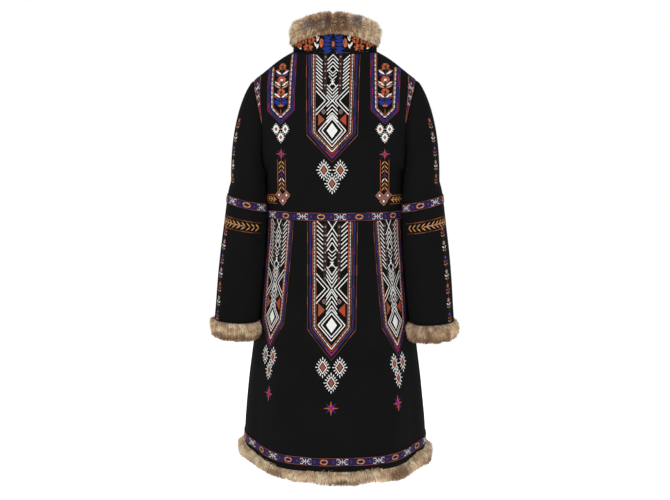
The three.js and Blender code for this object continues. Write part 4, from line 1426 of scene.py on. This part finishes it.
def collar_tone(points, share, level):
    """Tan with patches of brown, grey and cream, and paler tips."""
    x, z = points[:, 0], points[:, 2]
    patch = waves(71, x * 1.2, z, 22)
    amount = dict(
        tan=np.full(len(x), 0.85),
        cream=0.20 + 0.3 * np.clip(patch, 0, 1),
        brown=0.24 + 0.35 * np.clip(-patch, 0, 1),
        grey=np.zeros(len(x)),
    )
    for spot in COLLAR_PATCHES:
        away = ((x - spot["x"]) / spot["wide"]) ** 2 + ((z - spot["z"]) / spot["high"]) ** 2
        amount[spot["tone"]] = amount[spot["tone"]] + spot["weight"] * np.exp(-away)
    amount["cream"] = amount["cream"] * (0.5 + 0.9 * share) + 0.5 * (level > 1.1)
    amount["brown"] = amount["brown"] * (1.25 - 0.6 * share) + 0.8 * share * (level < -0.8)
    amount["grey"] = amount["grey"] * (1.0 - 0.25 * share)
    return mix_tones(amount, level)


TRIM_REACH = 44  # from the top of a trim's fur down to its full colour


def trim_tone(top_z, seed, pale):
    """A painted grey shade along the very top, cream at the upper edge, tan below and dark brown tips at the
    lower edge.
    """

    def tone(points, share, level):
        down = np.clip((top_z(points) - points[:, 2]) / TRIM_REACH, 0, 1)
        around = np.arctan2(points[:, 1], points[:, 0]) * 150
        patch = waves(seed, around, points[:, 2], 30)
        low = smooth((down - 0.42 - 0.14 * patch) / 0.55)
        # Painted shade: the hair turns greyer along the very top of the trim.
        high = 1 - smooth(down / 0.2)
        cream = pale * (1 - 0.9 * low) * (0.6 + 0.6 * share) + 0.7 * np.clip(patch, 0, 1)
        brown = 0.08 + low * (0.9 + 2.3 * share) + 0.8 * np.clip(-patch - 0.2, 0, 1)
        weights = dict(
            tan=0.85 + 0.35 * np.clip(-patch, 0, 1) + 0.5 * low,
            cream=cream + 0.5 * (level > 1.1),
            brown=brown + 0.9 * share * (level < -0.9),
            # Grey: real grey patches, and the painted shade along the top edge.
            grey=0.5 * np.clip(-patch - 0.5, 0, 1) + 1.3 * high,
        )
        return mix_tones(weights, level)

    return tone


def moved(base, out, out_by, up_by):
    return base + out * out_by[..., None] + UP * up_by[..., None]


def collar_base(u, out_by, up_by):
    turn = blend(-COLLAR_END, COLLAR_END, u)
    top, out = on_stand(turn, np.ones_like(turn))
    drop = round_the_neck(COLLAR_FUR_DROP, turn)
    parting = 5.0 * np.exp(-((turn / 3.0) ** 2)) * smooth(up_by / 40)
    up = np.where(up_by < 0, 0.3 * up_by * drop, up_by - parting)
    out_by = np.where(out_by > 0, out_by * (1 - 0.42 * sin_cos(turn)[0] ** 2), out_by)
    return moved(top, out, out_by, up), out


def cuff_base(u, out_by, up_by):
    turn = u * 360.0
    s, c = sin_cos(turn)
    last = SLEEVE[-1]
    out = unit(np.stack([-c / last["rx"], -s / last["ry"], 0 * s], -1))
    base = ring_point(turn, np.full_like(turn, SLEEVE_END_Z))
    return clear_of_body(moved(base, out, out_by, up_by), CUFF_CLEAR), out


def hem_base(u, out_by, up_by):
    angle = blend(-HEM_FUR_END, HEM_FUR_END, u)
    base = body_point(angle, np.full_like(angle, HEM_Z))
    s, c = sin_cos(angle)
    out = np.stack([s, -c, 0 * angle], -1)
    ripple = 2.4 * waves(91, angle * 3.4, 0 * angle, 34)
    low = np.clip((-9 - up_by) / 20, 0, 1)
    up_by = up_by * (1 + (np.interp(angle, *HEM_FUR_SHARE) - 1) * low) + ripple
    at_side = s**8
    up_by = up_by + 8 * at_side * smooth((up_by + 26) / 20)
    out_by = out_by + 6 * at_side * smooth(out_by / 5)
    return moved(base, out, out_by, up_by), out


def comb_up(face, out):
    """Hair of the collar: up on its upper half and down on its lower one."""
    rising = smooth((face[:, 2] + 0.1) / 0.6)[:, None]
    return out * 0.25 * (1 - rising) - UP * (1 - rising) * 0.9 + (UP * 0.8 + out * 0.25) * rising


def comb_down(_, out):
    """Hair of the hem and the cuffs: down."""
    return out * 0.12 - UP


# ---- Sizes that a user may change ----
class CoatColours(bpy.types.PropertyGroup):
    wool: FloatVectorProperty(
        name="Wool", description="Colour of the coating", subtype="COLOR", default=(0.0036, 0.0035, 0.0035)
    )
    ribbon: FloatVectorProperty(
        name="Ribbon",
        description="Ground of the woven tapes",
        subtype="COLOR",
        default=(0.016, 0.010, 0.062),
    )


class CoatSizes(bpy.types.PropertyGroup):
    collar_hairs: IntProperty(name="Collar hairs", description="Hairs of the fur collar", default=20000)
    hem_hairs: IntProperty(name="Hem hairs", description="Hairs of the fur hem", default=21000)
    cuff_hairs: IntProperty(name="Cuff hairs", description="Hairs of each fur cuff", default=11000)
    hair_length: FloatProperty(
        name="Hair length", description="Length of a hair", subtype="DISTANCE", unit="LENGTH", default=0.0125
    )
    hair_width: FloatProperty(
        name="Hair width", description="Width at the root", subtype="DISTANCE", unit="LENGTH", default=0.0009
    )
    camera_distance: FloatProperty(
        name="Camera distance",
        description="From the coat to the camera",
        subtype="DISTANCE",
        unit="LENGTH",
        default=2.5,
    )


def sizes():
    return bpy.context.scene.coat_sizes


class COAT_OT_materials(bpy.types.Operator):
    """Makes the cloth, ribbon, thread and fur materials"""

    bl_idname = "coat.materials"
    bl_label = "Materials"

    def execute(self, context):
        make_materials(context.scene.coat_colours)
        return {"FINISHED"}


class COAT_OT_body(bpy.types.Operator):
    """Makes the back and the two fronts"""

    bl_idname = "coat.body"
    bl_label = "Back and fronts"

    def execute(self, context):
        body_panel("back", -SIDE, SIDE, 112, False)
        body_panel("front_right", FRONT_SIDE, FRONT_EDGE, 62, True)
        body_panel("front_left", -FRONT_EDGE, -FRONT_SIDE, 62, False)
        return {"FINISHED"}


def tucked_sleeve(u, t):
    """The right sleeve, its top edge tucked in under the seam of the body."""
    point = on_sleeve(u * 360, t, seam_dip((1 - t) * TUCK["seam"]))[0]
    point[..., 0] -= TUCK["deep"] * smooth((t - 1) / TUCK["share"] + 1)
    return point


class COAT_OT_sleeves(bpy.types.Operator):
    """Makes the two sleeves"""

    bl_idname = "coat.sleeves"
    bl_label = "Sleeves"

    def execute(self, context):
        for side, mirrored in SIDES:
            bm = shaped_grid(80, 120, (400, 520), tucked_sleeve, mirrored, closed=True)
            wool_piece(f"coat_sleeve_{side}", bm, f"sleeve_{side}")
        return {"FINISHED"}


class COAT_OT_collar(bpy.types.Operator):
    """Makes the collar stand and its fur"""

    bl_idname = "coat.collar"
    bl_label = "Collar"

    def execute(self, context):
        def band(u, w):
            return on_stand(blend(-COLLAR_END, COLLAR_END, u), w)[0]

        wool_piece("collar_band", shaped_grid(140, 6, (530, 40), band), "collar_stand")
        place = roll_place(COLLAR_ROLL, collar_base)
        count = sizes().collar_hairs
        fur_trim("collar", "collar_fur", place, collar_tone, comb_up, TRIMS["collar"], count)
        return {"FINISHED"}


class COAT_OT_cuffs(bpy.types.Operator):
    """Makes the fur cuffs"""

    bl_idname = "coat.cuffs"
    bl_label = "Fur cuffs"

    def execute(self, context):
        place = roll_place(CUFF_ROLL, cuff_base)

        def left_place(u, w, shrink=0.0):
            point, face, out, girth = place(u, w, shrink)
            return point * (-1, 1, 1), face * (-1, 1, 1), out * (-1, 1, 1), girth

        def top_z(points):
            return SLEEVE_END_Z + 8 + 0.06 * (np.abs(points[:, 0]) - 225)

        for side, put in (("right", place), ("left", left_place)):
            trim = TRIMS[f"cuff_{side}"]
            tone = trim_tone(top_z, trim["seed"], 1.5)
            count = sizes().cuff_hairs
            fur_trim(f"cuff_{side}", f"cuff_fur_{side}", put, tone, comb_down, trim, count)
        return {"FINISHED"}


class COAT_OT_hem(bpy.types.Operator):
    """Makes the fur along the hem"""

    bl_idname = "coat.hem"
    bl_label = "Fur hem"

    def execute(self, context):
        place = roll_place(HEM_ROLL, hem_base)

        def top_z(points):
            side = np.abs(points[:, 0]) / BODY[0]["half"]
            lift = np.where(points[:, 0] > 0, HEM_SIDE_LIFT["right"], HEM_SIDE_LIFT["left"])
            return HEM_Z + lift * np.clip(side, 0, 1) ** 4

        tone = trim_tone(top_z, 51, 2.5)
        fur_trim("hem", "hem_fur", place, tone, comb_down, TRIMS["hem"], sizes().hem_hairs)
        return {"FINISHED"}


def ribbon_lift(w):
    """A ribbon is sewn down along its edges and stands a little higher between them."""
    return RIBBON["lift"] + RIBBON["crown"] * (1 - (2 * w - 1) ** 4)


class COAT_OT_tapes(bpy.types.Operator):
    """Makes the woven tapes round the waist, hem, sleeves and beside the armholes"""

    bl_idname = "coat.tapes"
    bl_label = "Woven tapes"

    def execute(self, context):
        for name, tape, length in (("waist", WAIST_TAPE, 890), ("hem", HEM_TAPE, 1230)):

            def place(u, w, tape=tape):
                angle = blend(-FRONT_EDGE, FRONT_EDGE, u)
                return round_coat(angle, blend(tape["bottom"], tape["top"], w), ribbon_lift(w))[0]

            bm = shaped_grid(260, RIBBON["cells"], (length, RIBBON["wide"]), place)
            ribbon_piece(f"{name}_ribbon", bm, f"{name}_tape")

        def band(u, w):
            z = blend(SLEEVE_TAPE["bottom"], SLEEVE_TAPE["top"], w)
            row = (z - SLEEVE_END_Z) / (SLEEVE_TOP_Z - SLEEVE_END_Z) * (1 - CAP_SHARE)
            return on_sleeve(u * 360, row, ribbon_lift(w))[0]

        for side, mirrored in SIDES:
            size = (380, RIBBON["wide"])
            bm = shaped_grid(90, RIBBON["cells"], size, band, mirrored, True)
            ribbon_piece(f"sleeve_ribbon_{side}", bm, f"sleeve_tape_{side}")

        def wedge(u, w):
            inner = blend(WEDGE["point"], WEDGE["wide"], w)
            return on_wedge(blend(inner, WEDGE["edge"], u), w, TAPE_LIFT["wedge"])[0]

        for side, mirrored in SIDES:
            bm = shaped_grid(6, 24, (20, WEDGE["high"]), wedge, mirrored)
            ribbon_piece(f"armhole_ribbon_{side}", bm, f"armhole_tape_{side}")
        return {"FINISHED"}


# Panels of the skirt: angle of the middle line, how much of its width it keeps, how it is drawn
# out downwards, and how far the figures below it slip sideways for each millimetre down
SKIRT_PANELS = table(
    "name centre across stretch slip comb",
    ("centre", 0, 1.0, 1.0, 0, BIG_COMB),
    ("right", 51, 0.70, 1.0, -0.235, SIDE_COMB),
    ("left", -50, 0.70, 0.96, 0.17, SIDE_COMB),
)


class COAT_OT_body_embroidery(bpy.types.Operator):
    """Sews the panels, combs, stars and columns of the back and the skirt"""

    bl_idname = "coat.body_embroidery"
    bl_label = "Body embroidery"

    def execute(self, context):
        on_back = lay_on_back(bpy.data.objects["coat_back"])
        work = Stitching()
        draw_long_panel(work, UPPER_PANEL)
        for x, z in ((-18, -258), (18, -258), (0, -288)):
            draw_comb(work, x, z, BIG_COMB)
        work.lay("upper_panel_embroidery", on_back)
        work = Stitching()
        for side in (-1, 1):
            middle = side * 115
            draw_shoulder_panel(work, middle, side)
            for dx, z in ((-10.5, -169), (10.5, -169), (0, -187)):
                draw_comb(work, middle + dx, z, SMALL_COMB)
            draw_star(work, middle, -224, 11.5)
            draw_wheat(work, middle)
            draw_trio(work, middle + side * -2, -316, 6.6, 7.8)
        work.lay("shoulder_embroidery", on_back)
        for panel in SKIRT_PANELS:
            across, slip = panel["across"], panel["slip"]
            work = Stitching(across)
            draw_long_panel(work, LOWER_PANEL)
            for x, z in ((-18, -693), (18, -693), (0, -727)):
                draw_comb(work, x * 1.06 + slip * (-690 - z), z, panel["comb"])
            draw_star(work, slip * 93, -783, 15.5 / across**0.4)
            place = lay_round(panel["centre"], panel["stretch"])
            work.lay(f"skirt_panel_embroidery_{panel['name']}", place)
        for name, side in (("right", 1), ("left", -1)):
            work = Stitching()
            for z, colour in ((-317, "orange"), (-336, "rust")):
                work.path([(side * 4, z), (side * 62, z)], 1.4, [colour, "rust"], 20)
            draw_leaf_band(work, WAIST_LEAVES, side)
            z = WAIST_LEAVES["z"]
            work.stroke((side * 6, z), (side * 60, z), 1.6, "gold")
            work.lay(f"waist_leaves_{name}", lay_round(side * 51))
        return {"FINISHED"}


class COAT_OT_tape_embroidery(bpy.types.Operator):
    """Sews the figures of the woven tapes"""

    bl_idname = "coat.tape_embroidery"
    bl_label = "Tape figures"

    def execute(self, context):
        for name in ("waist", "hem"):
            work = Stitching()
            draw_tape(work, **TAPE_REPEATS[name])
            work.lay(f"{name}_tape_figures", lay_round(0, lift=TAPE_LIFT["figures"]))
        for side, mirrored in SIDES:
            work = Stitching()
            draw_wedge(work)
            work.lay(f"armhole_tape_figures_{side}", lay_on_wedge, mirrored)
        place = lay_on_sleeve(BEHIND, TAPE_LIFT["figures"])
        for side, mirrored in SIDES:
            work = Stitching()
            draw_tape(work, **TAPE_REPEATS["sleeve"])
            work.lay(f"sleeve_tape_figures_{side}", place, mirrored)
        return {"FINISHED"}


class COAT_OT_sleeve_embroidery(bpy.types.Operator):
    """Sews the flower chains and leaf bands of the sleeves"""

    bl_idname = "coat.sleeve_embroidery"
    bl_label = "Sleeve embroidery"

    def execute(self, context):
        for side, mirrored in SIDES:
            work = Stitching()
            draw_sleeve_chain(work)
            work.lay(f"sleeve_chain_{side}", lay_on_sleeve(CHAIN["turn"]), mirrored)
            work = Stitching()
            for height in (-374, -398):
                work.path([(-46, height), (74, height)], 1.3, ["brown", "rust"], 24)
            draw_leaf_band(work, SLEEVE_LEAVES)
            z = SLEEVE_LEAVES["z"]
            work.stroke((0, z), (72, z), 2.0, "pale")
            work.lay(f"sleeve_leaves_{side}", lay_on_sleeve(BEHIND), mirrored)
        return {"FINISHED"}


class COAT_OT_collar_embroidery(bpy.types.Operator):
    """Sews the blue block, flowers and leaves of the collar stand"""

    bl_idname = "coat.collar_embroidery"
    bl_label = "Collar embroidery"

    def execute(self, context):
        work = Stitching()
        for way in (-1, 1):
            draw_collar_half(work, way)
        work.spot(0, 19, 6.4, 11.5, "navy", 1.3, 14)
        work.spot(0, 19, 4.6, 9.0, "orange", 1.9, 14)
        work.spot(0, 19, 1.8, 5.5, "red", 2.2, 10)
        work.lay("collar_embroidery", lay_on_stand)
        return {"FINISHED"}


class COAT_OT_cloth(bpy.types.Operator):
    """Does nothing"""

    bl_idname = "coat.cloth"
    bl_label = "Cloth"

    def execute(self, context):
        return {"FINISHED"}


# ---- Stage ----
CAMERA = dict(turn=3.3, height=-133, pitch=-7.2, focal=58.4, sensor=36.0)
FLOOR_Z = -1300
FLOOR_GLOW = 0.8
FLOOR_HALF = 12  # metres
WORLD_LIGHT = 0.25  # strength of the white world where it isn't seen by the camera
LIGHTS = table(
    "name place size power",
    ("key", (-1900, -2400, 1500), 1800, 38),
    ("fill", (2100, -2300, 600), 1800, 22),
    ("top", (0, -300, 2300), 2200, 24),
    ("rim", (0, 2300, 900), 1800, 16),
)
AIM = Vector((0, 0, -430))


def add_area_light(row):
    data = bpy.data.lights.new(row["name"], "AREA")
    data.energy = row["power"]
    data.size = row["size"] * MM
    lamp = bpy.data.objects.new(row["name"], data)
    lamp.location = Vector(row["place"]) * MM
    lamp.rotation_euler = ((AIM * MM) - lamp.location).to_track_quat("-Z", "Y").to_euler()
    bpy.context.scene.collection.objects.link(lamp)


class COAT_OT_stage(bpy.types.Operator):
    """Makes the floor, the lights and the camera"""

    bl_idname = "coat.stage"
    bl_label = "Stage"

    def execute(self, context):
        bm = bmesh.new()
        bmesh.ops.create_grid(bm, x_segments=2, y_segments=2, size=FLOOR_HALF)
        for v in bm.verts:
            v.co.z = FLOOR_Z * MM
        floor = bpy.data.objects.new("floor", mesh_from(bm, "floor"))
        context.scene.collection.objects.link(floor)
        finish = {"Roughness": 0.9, "Emission Color": (1, 1, 1, 1), "Emission Strength": FLOOR_GLOW}
        new_material("pale floor", (0.95, 0.95, 0.95), finish)
        floor.data.materials.append(bpy.data.materials["pale floor"])

        world = bpy.data.worlds.new("studio")
        context.scene.world = world
        world.use_nodes = True
        tree = world.node_tree
        seen = node(tree, "LightPath", {}).outputs["Is Camera Ray"]
        level = node(tree, "MapRange", {"Value": seen, "To Min": WORLD_LIGHT, "To Max": 1.0})
        shown = {"Color": (1, 1, 1, 1), "Strength": level.outputs["Result"]}
        feed(tree, tree.nodes["Background"], shown)
        for row in LIGHTS:
            add_area_light(row)

        data = bpy.data.cameras.new("camera")
        data.lens = CAMERA["focal"]
        data.sensor_width = CAMERA["sensor"]
        camera = bpy.data.objects.new("camera", data)
        turn = math.radians(CAMERA["turn"])
        distance = sizes().camera_distance
        x, y = distance * math.sin(turn), -distance * math.cos(turn)
        camera.location = (x, y, CAMERA["height"] * MM)
        camera.rotation_euler = (math.radians(90 + CAMERA["pitch"]), 0, turn)
        context.scene.collection.objects.link(camera)
        context.scene.camera = camera
        context.scene.view_settings.view_transform = "Standard"
        return {"FINISHED"}


class COAT_PT_sidebar(bpy.types.Panel):
    """The coat's sizes, colours and pieces"""

    bl_label = "Coat"
    bl_idname = "COAT_PT_sidebar"
    bl_space_type = "VIEW_3D"
    bl_region_type = "UI"
    bl_category = "Coat"

    def draw(self, context):
        for group in (context.scene.coat_colours, context.scene.coat_sizes):
            for name in group.bl_rna.properties.keys():
                if name not in ("rna_type", "name"):
                    self.layout.prop(group, name)
        for step in STEPS:
            self.layout.operator(step.bl_idname)


STEPS = (
    COAT_OT_materials,
    COAT_OT_body,
    COAT_OT_sleeves,
    COAT_OT_collar,
    COAT_OT_cuffs,
    COAT_OT_hem,
    COAT_OT_tapes,
    COAT_OT_body_embroidery,
    COAT_OT_tape_embroidery,
    COAT_OT_sleeve_embroidery,
    COAT_OT_collar_embroidery,
    COAT_OT_cloth,
    COAT_OT_stage,
)
CLASSES = (CoatColours, CoatSizes, *STEPS, COAT_PT_sidebar)


def register():
    for each in CLASSES:
        bpy.utils.register_class(each)
    bpy.types.Scene.coat_colours = PointerProperty(type=CoatColours)
    bpy.types.Scene.coat_sizes = PointerProperty(type=CoatSizes)


def unregister():
    del bpy.types.Scene.coat_sizes
    del bpy.types.Scene.coat_colours
    for each in reversed(CLASSES):
        bpy.utils.unregister_class(each)


def main():
    register()
    for step in STEPS:
        group, name = step.bl_idname.split(".")
        getattr(getattr(bpy.ops, group), name)()


if __name__ == "__main__":
    main()
